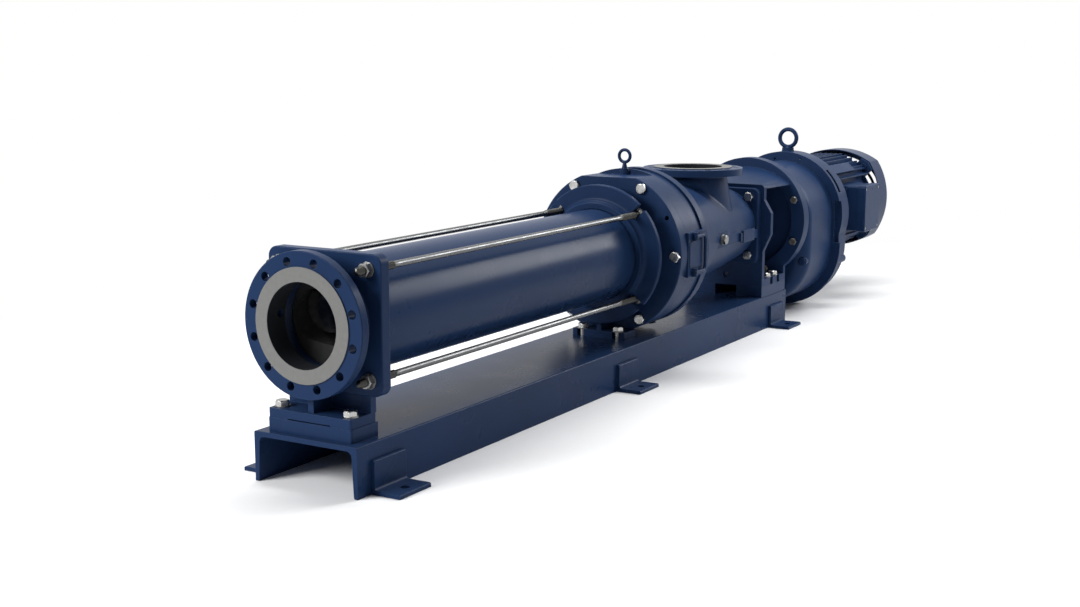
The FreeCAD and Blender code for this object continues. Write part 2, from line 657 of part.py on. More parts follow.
def discharge_end(parts, fasteners):
    """Discharge branch with its clamp plate and foot, the spacer and the bolts."""
    foot_low = BASE_TOP + SPACER_THICK
    foot_top = foot_low + FOOT_PLATE_THICK
    neck = BRANCH_NECK_DIA / 2
    barrel = turned([(FLANGE_THICK - 1, 0), (FLANGE_THICK - 1, neck + BRANCH_FLARE),
                     (FLANGE_THICK, neck + BRANCH_FLARE), (FLANGE_THICK + 4, neck + BRANCH_FLARE * 0.4),
                     (FLANGE_THICK + BRANCH_FLARE, neck), (BRANCH_REACH - 8, neck),
                     (BRANCH_REACH, neck + 8), (BRANCH_REACH + 1, neck + 8), (BRANCH_REACH + 1, 0)])
    plate = square_plate(BRANCH_REACH, PLATE_END, CLAMP_PLATE_HALF, CLAMP_PLATE_HALF, CLAMP_PLATE_RADIUS)
    plate = rounded(plate, 3, lambda e: abs(e.CenterOfMass.x - BRANCH_REACH) < 0.1)
    foot = box(FOOT_PLATE_START, PLATE_END, -FOOT_PLATE_HALF, FOOT_PLATE_HALF, foot_low, foot_top)
    foot = rounded(foot, 5, lambda e: along(e, AXIS_Z))
    wall = box(PLATE_END - BACK_WALL_THICK, PLATE_END, -FOOT_PLATE_HALF, FOOT_PLATE_HALF,
               foot_top - 1, 1 - CLAMP_PLATE_HALF)
    rib = box(FLANGE_THICK, PLATE_END - 1, -RIB_THICK / 2, RIB_THICK / 2, foot_top - 1, -neck + 20)
    branch = joined([pipe_flange(PORT_BORE / 2), barrel, plate, foot, wall, rib])
    cavity = 2 * ECCENTRICITY + ROTOR_SECTION_DIA / 2 + 2 * FLOW_GAP
    seat = STATOR_DIA / 2 + SEAT_GAP
    bore = turned([(-1, 0), (-1, PORT_BORE / 2), (BRANCH_REACH * 0.7, PORT_BORE / 2),
                   (PLATE_END - SEAT_DEPTH, cavity), (PLATE_END - SEAT_DEPTH, seat),
                   (PLATE_END + 1, seat), (PLATE_END + 1, 0)])
    branch = branch.cut(bore)
    for y in (-TIE_OFFSET, TIE_OFFSET):
        for z in (-TIE_OFFSET, TIE_OFFSET):
            branch = branch.cut(rod(BRANCH_REACH - 1, PLATE_END + 1, TIE_SIZE / 2 + HOLE_GAP, y, z))
    relief = box(FOOT_PLATE_START - 1, PLATE_END + 1, -FOOT_RELIEF_HALF, FOOT_RELIEF_HALF,
                 foot_low - 1, foot_low + FOOT_RELIEF_DEPTH)
    branch = branch.cut(relief)
    plug_seat = Vector(GAUGE_X, neck + 10, GAUGE_Z)
    boss = bar(plug_seat, -AXIS_Y, PLUG_SIZE, 24)
    branch = joined([branch, boss]).cut(port_plug_hole(plug_seat, AXIS_Y))
    fasteners.add("port_plugs", port_plug(plug_seat, AXIS_Y))
    spacer = box(FOOT_PLATE_START, FOOT_PLATE_START + SPACER_LENGTH, -FOOT_PLATE_HALF - 2,
                 FOOT_PLATE_HALF + 2, BASE_TOP, foot_low)
    spacer = rounded(spacer, 5, lambda e: along(e, AXIS_Z))
    for side in (1, -1):
        at = (BRANCH_BOLT_X, side * BRANCH_BOLT_Y)
        hole = bolt_hole(Vector(at[0], at[1], foot_top), AXIS_Z, TIE_SIZE,
                         FOOT_PLATE_THICK + SPACER_THICK)
        branch = branch.cut(hole)
        spacer = spacer.cut(hole)
        hold_down(fasteners, "long_hex_bolts", at[0], at[1], foot_top, LONG_GRIP)
    parts["discharge_branch"] = branch
    parts["pedestal_spacer"] = spacer


def port_plug(seat, direction):
    """Hexagon plug with a collar for a tapped port."""
    collar = bar(seat, direction, PLUG_SIZE * 0.85, 4)
    head = hexagon(seat + direction * 4, direction, 1.45 * PLUG_SIZE, 12)
    return joined([collar, head, bar(seat, -direction, PLUG_SIZE / 2, PLUG_DEPTH)])


def port_plug_hole(seat, direction):
    """Tapped hole of a port, open through the wall."""
    return bar(seat + direction, -direction, PLUG_SIZE / 2 + SHAFT_GAP, 60)


def stator(parts):
    """Stator tube, the rubber lining with its twisted cavity, and the end seals."""
    outer = STATOR_DIA / 2
    inner = outer - STATOR_WALL
    parts["stator_tube"] = ring(TUBE_START, TUBE_END, outer, inner)
    lining = rod(TUBE_START + LINING_SETBACK, TUBE_END - LINING_SETBACK, inner - 0.1)
    cavity = twisted(cavity_section, 2 * ROTOR_PITCH, TUBE_START - 20, TUBE_END + 20,
                     2 * ROTOR_STEPS)
    parts["stator_lining"] = lining.cut(cavity)
    seals = [ring(x, x + SEAL_THICK, outer, outer - SEAL_WIDTH)
             for x in (TUBE_START - SEAL_THICK, TUBE_END)]
    parts["stator_seals"] = group(seals)


def rotor(parts):
    """Single helix rotor with the socket of its joint, on an axis beside the pump's."""
    lead = 2 * math.pi * (ROTOR_START - TUBE_START + 20) / ROTOR_PITCH
    helix = twisted(lambda turn: rotor_section(turn + lead), ROTOR_PITCH, ROTOR_START,
                    ROTOR_HEAD - 12, ROTOR_STEPS)
    head = JOINT_HEAD_DIA / 2
    cavity = JOINT_CAVITY_DIA / 2
    end = ROTOR_HEAD + JOINT_HEAD_LENGTH
    waist = ROTOR_SECTION_DIA / 2 - ECCENTRICITY - 1
    flare = TUBE_END - LINING_SETBACK + 1
    socket = turned([(flare - 20, 0), (flare - 20, waist), (flare, waist), (ROTOR_HEAD, head * 0.9),
                     (ROTOR_HEAD + 6, head), (end, head), (end, cavity), (ROTOR_HEAD + 14, cavity),
                     (ROTOR_HEAD + 14, 0)])
    body = joined([helix, socket])
    body.translate(Vector(0, ECCENTRICITY, 0))
    parts["rotor"] = body
    boot = joint_boot(end, 1)
    boot.translate(Vector(0, ECCENTRICITY, 0))
    parts["rotor_joint_boot"] = boot


def joint_boot(mouth, side):
    """Rubber boot in the mouth of a joint socket, with room for the leaning rod."""
    rim = JOINT_HEAD_DIA / 2
    seat = JOINT_CAVITY_DIA / 2
    hole = ROD_DIA / 2 + BOOT_PLAY
    inside = mouth - side * BOOT_SEAT
    return turned([(inside, hole + 8), (inside, seat), (mouth, seat),
                   (mouth, rim), (mouth + side * 6, rim - 4), (mouth + side * BOOT_THICK, hole + 8),
                   (mouth + side * BOOT_THICK, hole), (mouth + side * 4, hole)])


def tie_rods(parts, fasteners):
    """Four tie rods between the clamp plate and the clamp flange, with nuts and washers."""
    start = BRANCH_REACH - TIE_FRONT_PROUD
    end = NECK + TIE_REAR_PROUD
    thread = TIE_SIZE / 2
    shank = TIE_SHANK_DIA / 2
    lift = washer_thick(TIE_SIZE)
    rods = []
    for y in (-TIE_OFFSET, TIE_OFFSET):
        for z in (-TIE_OFFSET, TIE_OFFSET):
            rods.append(turned([(start, 0), (start, thread - 1.5), (start + 1.5, thread),
                                (start + TIE_THREAD_LENGTH, thread), (start + TIE_THREAD_LENGTH + 3, shank),
                                (end - TIE_THREAD_LENGTH - 3, shank), (end - TIE_THREAD_LENGTH, thread),
                                (end - 1.5, thread), (end, thread - 1.5), (end, 0)], y, z))
            for x, outward in ((BRANCH_REACH, -AXIS_X), (NECK, AXIS_X)):
                seat = Vector(x, y, z)
                fasteners.add("large_washers", washer(seat, outward, TIE_SIZE))
                fasteners.add("tie_rod_nuts", hex_nut(seat + outward * lift, outward, TIE_SIZE))
    parts["tie_rods"] = group(rods)


def casing_cover(parts, fasteners):
    """Casting that joins the stator to the drum, its foot, bolts and seal."""
    tube = STATOR_DIA / 2
    hub_start = CLAMP - HUB_LENGTH
    hub = ring(hub_start, CLAMP + 1, HUB_DIA / 2, tube + HUB_LINE_GAP)
    hub = bevelled(hub, 2, lambda e: abs(e.CenterOfMass.x - hub_start) < 0.1
                   and e.Curve.Radius > tube + 10)
    flange = bevelled(rod(CLAMP, NECK, CLAMP_FLANGE_DIA / 2), 2.5,
                      lambda e: e.Curve.TypeId == "Part::GeomCircle")
    front = rounded(joined([hub, flange]), HUB_FILLET, lambda e: e.Curve.TypeId == "Part::GeomCircle"
                    and abs(e.CenterOfMass.x - CLAMP) < 0.1
                    and abs(e.Curve.Radius - HUB_DIA / 2) < 0.1)
    neck = rod(NECK - 1, COVER + 1, COVER_NECK_DIA / 2)
    plate = bevelled(rod(COVER, DRUM, COVER_DIA / 2), 2.5,
                     lambda e: e.Curve.TypeId == "Part::GeomCircle"
                     and abs(e.CenterOfMass.x - COVER) < 0.1)
    spigot = rod(DRUM - 1, DRUM + 10, DRUM_BORE / 2 - SEAT_GAP)
    foot_start = CLAMP + MID_FOOT_SETBACK
    foot = box(foot_start, foot_start + MID_FOOT_LENGTH, -MID_FOOT_HALF, MID_FOOT_HALF,
               BASE_TOP, BASE_TOP + MID_FOOT_THICK)
    foot = rounded(foot, 4, lambda e: along(e, AXIS_Z))
    rib = box(foot_start + 6, COVER + 1, -RIB_THICK / 2, RIB_THICK / 2,
              BASE_TOP + MID_FOOT_THICK - 1, -COVER_NECK_DIA / 2 + 20)
    cover = joined([front, neck, plate, spigot, foot, rib])
    seat = CLAMP + TUBE_ENGAGE
    cover = cover.cut(rod(CLAMP - 1, seat, tube + SEAT_GAP)).cut(rod(CLAMP, DRUM + 20, COVER_BORE / 2))
    for y in (-TIE_OFFSET, TIE_OFFSET):
        for z in (-TIE_OFFSET, TIE_OFFSET):
            cover = cover.cut(rod_notch(y, z))
            cover = cover.cut(rod(NECK, NECK + TIE_REAR_PROUD + 4, NUT_POCKET_DIA / 2, y, z))
    cover = cover.cut(top_flat())
    for a in angles(COVER_BOLTS):
        y, z = polar(COVER_BOLT_CIRCLE / 2, a)
        cover = cover.cut(bolt_hole(Vector(COVER, y, z), -AXIS_X, COVER_BOLT_SIZE, COVER_THICK))
    for a in (30.0, 150.0):
        y, z = polar(COVER_BOLT_CIRCLE / 2, a)
        cover = cover.cut(rod(COVER - 1, COVER + 30, JACKING_HOLE / 2, y, z))
    foot_top = BASE_TOP + MID_FOOT_THICK
    bolt_x = foot_start + MID_BOLT_SETBACK
    slot = FOOT_BOLT_SIZE / 2 + SLOT_PLAY / 2
    for side in (1, -1):
        y = side * MID_BOLT_Y
        cover = cover.cut(box(foot_start - 1, bolt_x, y - slot, y + slot, BASE_TOP - 1, foot_top + 1))
        cover = cover.cut(bar(Vector(bolt_x, y, BASE_TOP - 1), AXIS_Z, slot, MID_FOOT_THICK + 2))
        hold_down(fasteners, "short_hex_bolts", bolt_x, y, foot_top, SHORT_GRIP)
    parts["casing_cover"] = cover
    grip = COVER_THICK + DRUM_LENGTH + 22
    for a in angles(COVER_BOLTS):
        y, z = polar(COVER_BOLT_CIRCLE / 2, a)
        fasteners.add("cover_bolts", hex_bolt(Vector(COVER, y, z), -AXIS_X, COVER_BOLT_SIZE, grip))
    inner = DRUM_BORE / 2 + 4
    parts["cover_seal"] = ring(DRUM, DRUM + GASKET_THICK, inner + GASKET_WIDTH, inner)


def rod_notch(y, z):
    """Notch in the clamp flange, open outwards, for one tie rod."""
    width = TIE_SIZE + SLOT_PLAY
    reach = CLAMP_FLANGE_DIA / 2
    slot = box(CLAMP - 1, NECK + 1, 0, reach, -width / 2, width / 2)
    slot = slot.fuse(rod(CLAMP - 1, NECK + 1, width / 2))
    slot.rotate(Vector(0, 0, 0), AXIS_X, math.degrees(math.atan2(z, y)))
    slot.translate(Vector(0, y, z))
    return slot


def top_flat():
    """Block that cuts the flat on top of the cover and the drum's front."""
    return box(COVER - 1, DRUM + FLAT_ON_DRUM, -COVER_DIA / 2, COVER_DIA / 2, COVER_FLAT,
               COVER_DIA / 2 + 1)


def access_drum(parts, fasteners):
    """Drum behind the cover with side pads, pull handles, eye bolt and drain plugs."""
    outer = COVER_DIA / 2
    groove = CASING - DRUM_GROOVE_LENGTH
    low = outer - DRUM_GROOVE_DEPTH
    bore = DRUM_BORE / 2
    drum = turned([(DRUM, bore), (DRUM, outer), (groove, outer), (groove + 2, low), (CASING, low),
                   (CASING, bore)])
    pad = box(DRUM, CASING, -PAD_FACE, -bore - 6, -PAD_HALF_HEIGHT, PAD_HALF_HEIGHT)
    inset = HANDLE_HALF - HANDLE_EYE_HEIGHT / 2 - HANDLE_EAR - 3
    panel = box(DRUM + 8, DRUM + HANDLE_PIVOT_X + HANDLE_REACH - 10, -PAD_FACE - PAD_PANEL,
                1 - PAD_FACE, -inset, inset)
    panel = rounded(panel, 8, lambda e: along(e, AXIS_Y))
    pivot_y = -(PAD_FACE + HANDLE_STANDOFF)
    pivot_x = DRUM + HANDLE_PIVOT_X
    eye = HANDLE_EYE_HEIGHT / 2
    ears = []
    pins = []
    for z in (-HANDLE_HALF, HANDLE_HALF):
        for near in (z - eye - HANDLE_EAR_GAP - HANDLE_EAR, z + eye + HANDLE_EAR_GAP):
            ear = box(pivot_x - HANDLE_EYE_DIA / 2, pivot_x + HANDLE_EYE_DIA / 2, pivot_y,
                      1 - PAD_FACE, near, near + HANDLE_EAR)
            ear = ear.fuse(bar(Vector(pivot_x, pivot_y, near), AXIS_Z, HANDLE_EYE_DIA / 2, HANDLE_EAR))
            ears.append(ear)
        length = 2 * (eye + HANDLE_EAR_GAP + HANDLE_EAR)
        pins.append(bar(Vector(pivot_x, pivot_y, z - length / 2), AXIS_Z, HANDLE_PIN_DIA / 2, length))
    side = joined([pad, panel] + ears)
    for pin in pins:
        side = side.cut(pin)
    boss = bar(Vector(DRUM + EYE_X_ON_DRUM, 0, bore + 6), AXIS_Z, EYE_BOSS_DIA / 2,
               EYE_BOSS_TOP - bore - 6)
    drum = joined([drum.cut(top_flat()), side, mirrored(side), boss])
    drum = drum.cut(ring(DRUM - 1, DRUM + GASKET_THICK, bore + 4 + GASKET_WIDTH + SEAT_GAP,
                         bore + 4 - SEAT_GAP))
    for a in angles(COVER_BOLTS):
        y, z = polar(COVER_BOLT_CIRCLE / 2, a)
        drum = drum.cut(rod(DRUM - 1, CASING + 1, COVER_BOLT_SIZE / 2 + HOLE_GAP, y, z))
    seat = EYE_BOSS_TOP
    eye_x = DRUM + EYE_X_ON_DRUM
    drum = drum.cut(bar(Vector(eye_x, 0, seat - COVER_EYE_DEPTH - 2), AXIS_Z,
                        COVER_EYE_SCREW / 2 + SHAFT_GAP, 2 * COVER_EYE_DEPTH))
    drum = drum.cut(bar(Vector(eye_x, 0, seat), AXIS_Z, EYE_BOSS_DIA / 2, EYE_BOSS_DROP + 2))
    parts["cover_eye_bolt"] = eye_bolt(eye_x, seat, COVER_EYE_RISE, COVER_EYE_OUTER, COVER_EYE_INNER,
                                       COVER_EYE_COLLAR, COVER_EYE_SCREW, COVER_EYE_DEPTH)
    for x in (CASING - DRUM_GROOVE_LENGTH / 2 + 6, CASING + CASING_FLANGE_LENGTH * 0.6):
        radius = low if x < CASING else outer
        fasteners.add("drain_plugs", drain_plug(Vector(x, 0, 0), DRAIN_ANGLE, radius))
    drum = drum.cut(drain_hole(CASING - DRUM_GROOVE_LENGTH / 2 + 6, low))
    parts["access_drum"] = drum

    handle = pull_handle(pivot_x, pivot_y)
    parts["near_pull_handle"] = handle
    parts["far_pull_handle"] = mirrored(handle)
    parts["handle_pins"] = group(pins + [mirrored(p) for p in pins])


def small_plug(seat, outward):
    """Small hexagon screw plug on its seat."""
    head = hexagon(seat, outward, 1.5 * DRAIN_SIZE, 7.5)
    return head.fuse(bar(seat, -outward, DRAIN_SIZE / 2, 12)).removeSplitter()


def drain_plug(centre, angle, radius):
    """Screw plug standing off along the radius at an angle."""
    y, z = polar(radius - 1, angle)
    outward = Vector(0, y, z).normalize()
    return small_plug(centre + Vector(0, y, z), outward)


def drain_hole(x, radius):
    """Seat and hole for a drain plug."""
    y, z = polar(radius - 1, DRAIN_ANGLE)
    outward = Vector(0, y, z).normalize()
    hole = bar(Vector(x, y, z), -outward, DRAIN_SIZE / 2 + SHAFT_GAP, 13)
    return hole.fuse(bar(Vector(x, y, z), outward, DRAIN_SIZE * 1.1, 10))


def pull_handle(pivot_x, pivot_y):
    """Bent round bar with an eye at each end."""
    r = HANDLE_DIA / 2
    bend = HANDLE_CORNER
    end = pivot_x + HANDLE_REACH
    top = HANDLE_HALF
    start = pivot_x + HANDLE_EYE_DIA / 2 - 2
    mid = bend * (1 - math.sqrt(0.5))
    path = Part.Wire([
        Part.LineSegment(Vector(start, pivot_y, top), Vector(end - bend, pivot_y, top)).toShape(),
        Part.Arc(Vector(end - bend, pivot_y, top), Vector(end - mid, pivot_y, top - mid),
                 Vector(end, pivot_y, top - bend)).toShape(),
        Part.LineSegment(Vector(end, pivot_y, top - bend), Vector(end, pivot_y, bend - top)).toShape(),
        Part.Arc(Vector(end, pivot_y, bend - top), Vector(end - mid, pivot_y, mid - top),
                 Vector(end - bend, pivot_y, -top)).toShape(),
        Part.LineSegment(Vector(end - bend, pivot_y, -top), Vector(start, pivot_y, -top)).toShape()])
    profile = Part.Wire(Part.makeCircle(r, Vector(start, pivot_y, top), AXIS_X))
    bent = path.makePipeShell([profile], True, False)
    eyes = [bar(Vector(pivot_x, pivot_y, z - HANDLE_EYE_HEIGHT / 2), AXIS_Z, HANDLE_EYE_DIA / 2,
                HANDLE_EYE_HEIGHT) for z in (-top, top)]
    handle = joined([bent] + eyes)
    for z in (-top, top):
        handle = handle.cut(bar(Vector(pivot_x, pivot_y, z - HANDLE_EYE_HEIGHT), AXIS_Z,
                                HANDLE_PIN_DIA / 2 + SHAFT_GAP, 2 * HANDLE_EYE_HEIGHT))
    return handle


def suction_casing(parts, fasteners):
    """Tapered casing with the upright suction branch and the square end flange."""
    front = CASING_FRONT_DIA / 2
    rear = CASING_REAR_DIA / 2
    wall = CASING_WALL
    outer = COVER_DIA / 2
    shoulder = CASING + CASING_FLANGE_LENGTH
    mouth = DRUM_BORE / 2
    body = turned([(CASING, 0), (CASING, outer), (shoulder - 2, outer), (shoulder, outer - 2),
                   (shoulder, front + 12), (shoulder + 12, front), (END_FLANGE, rear),
                   (LANTERN, rear), (LANTERN, 0)])
    neck_top = SUCTION_HEIGHT - FLANGE_THICK
    neck = Part.makeCone(SUCTION_NECK_BASE_DIA / 2, SUCTION_NECK_TOP_DIA / 2, neck_top,
                         Vector(SUCTION, 0, 0), AXIS_Z)
    flange = pipe_flange(PORT_BORE / 2)
    flange.rotate(Vector(0, 0, 0), AXIS_Y, 90)
    flange.translate(Vector(SUCTION, 0, SUCTION_HEIGHT))
    end = square_plate(END_FLANGE, LANTERN, END_FLANGE_HALF_WIDTH, END_FLANGE_HALF_HEIGHT,
                       END_FLANGE_RADIUS)
    end = bevelled(end, 2, lambda e: abs(e.CenterOfMass.x - END_FLANGE) < 0.1)
    lugs = side_lugs()
    branch = rounded(joined([body, neck]), NECK_FILLET,
                     lambda e: e.Curve.TypeId == "Part::GeomBSplineCurve")
    branch = rounded(joined([branch, flange]), NECK_TOP_FILLET,
                     lambda e: e.Curve.TypeId == "Part::GeomCircle"
                     and abs(e.CenterOfMass.z - neck_top) < 0.1
                     and abs(e.Curve.Radius - SUCTION_NECK_TOP_DIA / 2) < 0.1)
    casing = joined([branch, end] + lugs)
    inside = turned([(CASING - 1, 0), (CASING - 1, mouth), (CASING + 14, mouth),
                     (shoulder + 6, front - wall), (END_FLANGE - 6, rear - wall),
                     (LANTERN - END_WALL, rear - wall), (LANTERN - END_WALL, 0)])
    casing = casing.cut(inside)
    port = Part.makeCylinder(PORT_BORE / 2, SUCTION_HEIGHT + 2, Vector(SUCTION, 0, 0), AXIS_Z)
    casing = casing.cut(port)
    casing = casing.cut(rod(LANTERN - END_WALL - 1, LANTERN + 1, SEAL_SEAT_DIA / 2 + SEAT_GAP))
    for y in (-END_BOLT_OFFSET, END_BOLT_OFFSET):
        for z in (-END_BOLT_OFFSET, END_BOLT_OFFSET):
            casing = casing.cut(rod(END_FLANGE - 1, LANTERN + 1, END_BOLT_SIZE / 2 + HOLE_GAP, y, z))
            casing = casing.cut(rod(END_FLANGE - 30, END_FLANGE, 0.95 * END_BOLT_SIZE, y, z))
    for a in angles(COVER_BOLTS):
        y, z = polar(COVER_BOLT_CIRCLE / 2, a)
        casing = casing.cut(rod(CASING - 1, CASING + 24, COVER_BOLT_SIZE / 2 + SHAFT_GAP, y, z))
    casing = casing.cut(drain_hole(CASING + CASING_FLANGE_LENGTH * 0.6, outer))
    seat = Vector(SUCTION + SIDE_PLUG_X, -SIDE_BOSS_FACE, SIDE_PLUG_Z)
    parts["suction_casing"] = casing.cut(port_plug_hole(seat, -AXIS_Y))
    fasteners.add("port_plugs", port_plug(seat, -AXIS_Y))
    for y in (-END_BOLT_OFFSET, END_BOLT_OFFSET):
        for z in (-END_BOLT_OFFSET, END_BOLT_OFFSET):
            fasteners.add("short_hex_bolts",
                          hex_bolt(Vector(END_FLANGE, y, z), -AXIS_X, END_BOLT_SIZE, SHORT_GRIP))


def side_lugs():
    """Boss for the side plug and the row of flat cast lugs behind it."""
    boss = box(SUCTION - 206, SUCTION - 88, -SIDE_BOSS_FACE, -120, -30, 24)
    lugs = [rounded(boss, 5, lambda e: along(e, AXIS_Y))]
    for start, end, face, low, high in ((-60, 36, 163, -30, 4), (34, 46, 170, -30, 0),
                                        (94, 190, 154, -40, 2), (202, 232, 147, -36, -7)):
        lug = box(SUCTION + start, SUCTION + end, -face, -115, low, high)
        lugs.append(rounded(lug, 3, lambda e: along(e, AXIS_Y)))
    return lugs


def lantern(parts, fasteners):
    """Open frame between the casing and the gearbox, its spacer and bolts."""
    front_end = LANTERN + LANTERN_FRONT_THICK
    rear_start = GEARBOX - LANTERN_REAR_THICK
    sole = BASE_TOP + LANTERN_SPACER_THICK
    foot_top = sole + LANTERN_FOOT_THICK
    half = LANTERN_HALF
    bulge = LANTERN_BULGE
    top = LANTERN_TOP
    right = [(half, sole), (half, -92), (bulge, -30), (bulge, 46), (half, 92), (half, top - 14),
             (half - 14, top)]
    outline = right + [(-y, z) for y, z in reversed(right)]
    front = prism_x(outline, LANTERN, front_end)
    disc = rod(rear_start, GEARBOX, GEAR_FLANGE_DIA / 2)
    legs = box(rear_start, GEARBOX - LEG_SETBACK, -half, half, sole, 0)
    rear = joined([disc, legs])
    foot = box(LANTERN, GEARBOX - LEG_SETBACK, -half, half, sole, foot_top)
    body = joined([front, rear, hood(), foot])
    body = body.cut(box(LANTERN - 1, GEARBOX + 1, -half, half, FLOOR, sole))
    body = body.cut(rod(LANTERN - 1, front_end + 1, SEAL_SEAT_DIA / 2 + 12))
    body = body.cut(rod(rear_start - 1, GEARBOX + 1, LANTERN_REAR_BORE / 2))
    body = body.cut(rod(LANTERN - 1, front_end + 1, DRAIN_HOLE / 2, -10, foot_top + DRAIN_HOLE_RISE))
    for y in (-END_BOLT_OFFSET, END_BOLT_OFFSET):
        for z in (-END_BOLT_OFFSET, END_BOLT_OFFSET):
            body = body.cut(rod(LANTERN - 1, front_end + 1, END_BOLT_SIZE / 2 + SHAFT_GAP, y, z))
    for y, z in flange_bolt_places():
        body = body.cut(rod(rear_start - 1, GEARBOX + 1, GEAR_FLANGE_BOLT_SIZE / 2 + HOLE_GAP, y, z))
        body = body.cut(rod(rear_start - 16, rear_start, 0.95 * GEAR_FLANGE_BOLT_SIZE, y, z))
    spacers = box(LANTERN, GEARBOX - LEG_SETBACK, -half, TUNNEL_NEAR, BASE_TOP, sole).fuse(
        box(LANTERN, GEARBOX - LEG_SETBACK, TUNNEL_FAR, half, BASE_TOP, sole))
    slot = END_BOLT_SIZE / 2 + SLOT_PLAY / 2
    for side in (1, -1):
        for x in LANTERN_BOLT_X:
            y = side * LANTERN_BOLT_Y
            open_slot = box(LANTERN + x - slot, LANTERN + x + slot, min(y, side * (half + 1)),
                            max(y, side * (half + 1)), sole - 1, foot_top + 1)
            open_slot = open_slot.fuse(bar(Vector(LANTERN + x, y, sole - 1), AXIS_Z, slot,
                                           LANTERN_FOOT_THICK + 2))
            body = body.cut(open_slot)
            spacers = spacers.cut(bolt_hole(Vector(LANTERN + x, y, sole), AXIS_Z, END_BOLT_SIZE,
                                          LANTERN_SPACER_THICK))
            hold_down(fasteners, "long_hex_bolts", LANTERN + x, y, foot_top, LONG_GRIP)
    parts["lantern"] = body
    parts["lantern_spacers"] = group([spacers])
    grip = LANTERN_REAR_THICK + GEAR_FLANGE_THICK - 2
    for y, z in flange_bolt_places():
        fasteners.add("gearbox_flange_bolts",
                      hex_bolt(Vector(rear_start, y, z), -AXIS_X, GEAR_FLANGE_BOLT_SIZE, grip))


def flange_bolt_places():
    """Places of the gearbox flange's bolts, except under the hood."""
    places = [polar(GEAR_FLANGE_CIRCLE / 2, a)
              for a in angles(GEAR_FLANGE_BOLTS, 180.0 / GEAR_FLANGE_BOLTS)]
    return [(y, z) for y, z in places if z < LANTERN_WINDOW_TOP]


def arch_height(y):
    """Height of the hood's arch at the gearbox flange, at a distance from the middle."""
    sag = LANTERN_REAR_TOP - LANTERN_WINDOW_TOP - HOOD_EDGE
    radius = (LANTERN_REAR_HALF ** 2 + sag ** 2) / (2 * sag)
    return LANTERN_REAR_TOP - radius + math.sqrt(radius ** 2 - y ** 2)


def hood_wire(x, low, side, middle, turn, crown):
    """Closed outline of the hood: each point is a (y, z) place on its right half."""
    left = [Vector(x, -y, z) for y, z in (side, middle, turn)]
    right = [Vector(x, y, z) for y, z in (side, middle, turn)]
    return Part.Wire([
        Part.LineSegment(Vector(x, side[0], low), Vector(x, -side[0], low)).toShape(),
        Part.LineSegment(Vector(x, -side[0], low), left[0]).toShape(),
        Part.Arc(left[0], left[1], left[2]).toShape(),
        Part.Arc(left[2], Vector(x, 0, crown), right[2]).toShape(),
        Part.Arc(right[2], right[1], right[0]).toShape(),
        Part.LineSegment(right[0], Vector(x, side[0], low)).toShape()])


def hood():
    """Hood over the lantern: flat with round edges in front, arched at the gearbox."""
    low = LANTERN_WINDOW_TOP
    rear = GEARBOX - LANTERN_REAR_THICK
    half = LANTERN_HALF
    top = LANTERN_TOP
    cut = HOOD_CORNER * (1 - math.sqrt(0.5))
    front_wire = hood_wire(LANTERN, low, (half, top - HOOD_CORNER), (half - cut, top - cut),
                           (half - HOOD_CORNER, top), top + 0.2)
    wide = LANTERN_REAR_HALF
    turn = wide * 0.8
    middle = wide * 0.91
    rear_wire = hood_wire(rear + 1, low, (wide, low + HOOD_EDGE), (middle, arch_height(middle)),
                          (turn, arch_height(turn)), arch_height(0))
    outer = Part.makeLoft([front_wire, rear_wire], True, True)
    wires = []
    inset = LANTERN_WALL
    for x, y, side, crown in ((LANTERN + LANTERN_FRONT_THICK, half - 2 * inset, 1, 1.5),
                              (rear, half - inset, 5, arch_height(0) - inset - low)):
        wires.append(Part.Wire([
            Part.LineSegment(Vector(x, y, low - 1), Vector(x, -y, low - 1)).toShape(),
            Part.LineSegment(Vector(x, -y, low - 1), Vector(x, -y, low + side)).toShape(),
            Part.Arc(Vector(x, -y, low + side), Vector(x, 0, low + crown),
                     Vector(x, y, low + side)).toShape(),
            Part.LineSegment(Vector(x, y, low + side), Vector(x, y, low - 1)).toShape()]))
    return outer.cut(Part.makeLoft(wires, True, True))


def shaft_seal(parts):
    """Seal between the casing and the lantern: housing, two rings and the bellows."""
    seat = SEAL_SEAT_DIA / 2
    shaft = SHAFT_DIA / 2
    face = LANTERN - END_WALL
    front_end = LANTERN + LANTERN_FRONT_THICK
    housing = turned([(face - 8, shaft + 4), (face - 8, seat), (LANTERN, seat), (LANTERN, seat + 10),
                      (front_end, seat + 10), (front_end, shaft + 4)])
    recess = rod(face - 9, face - 8 + SEAL_RING_WIDTH, shaft + 14)
    parts["seal_housing"] = housing.cut(recess)
    ring_start = face - 8 - 2
    stationary_end = face - 8 + SEAL_RING_WIDTH
    parts["seal_stationary_ring"] = ring(ring_start, stationary_end, shaft + 14 - SEAT_GAP, shaft + 4)
    turning_start = ring_start - SEAL_RING_WIDTH
    parts["seal_rotating_ring"] = ring(turning_start, ring_start, shaft + 12, shaft + SHAFT_GAP)
    folds = 4
    depth = 8.0
    length = 32.0
    outline = [(turning_start - length, shaft + SHAFT_GAP), (turning_start, shaft + SHAFT_GAP)]
    for i in range(2 * folds + 1):
        x = turning_start - length * i / (2 * folds)
        outline.append((x, shaft + 5 + (depth if i % 2 else 0)))
    parts["seal_bellows"] = turned(outline)


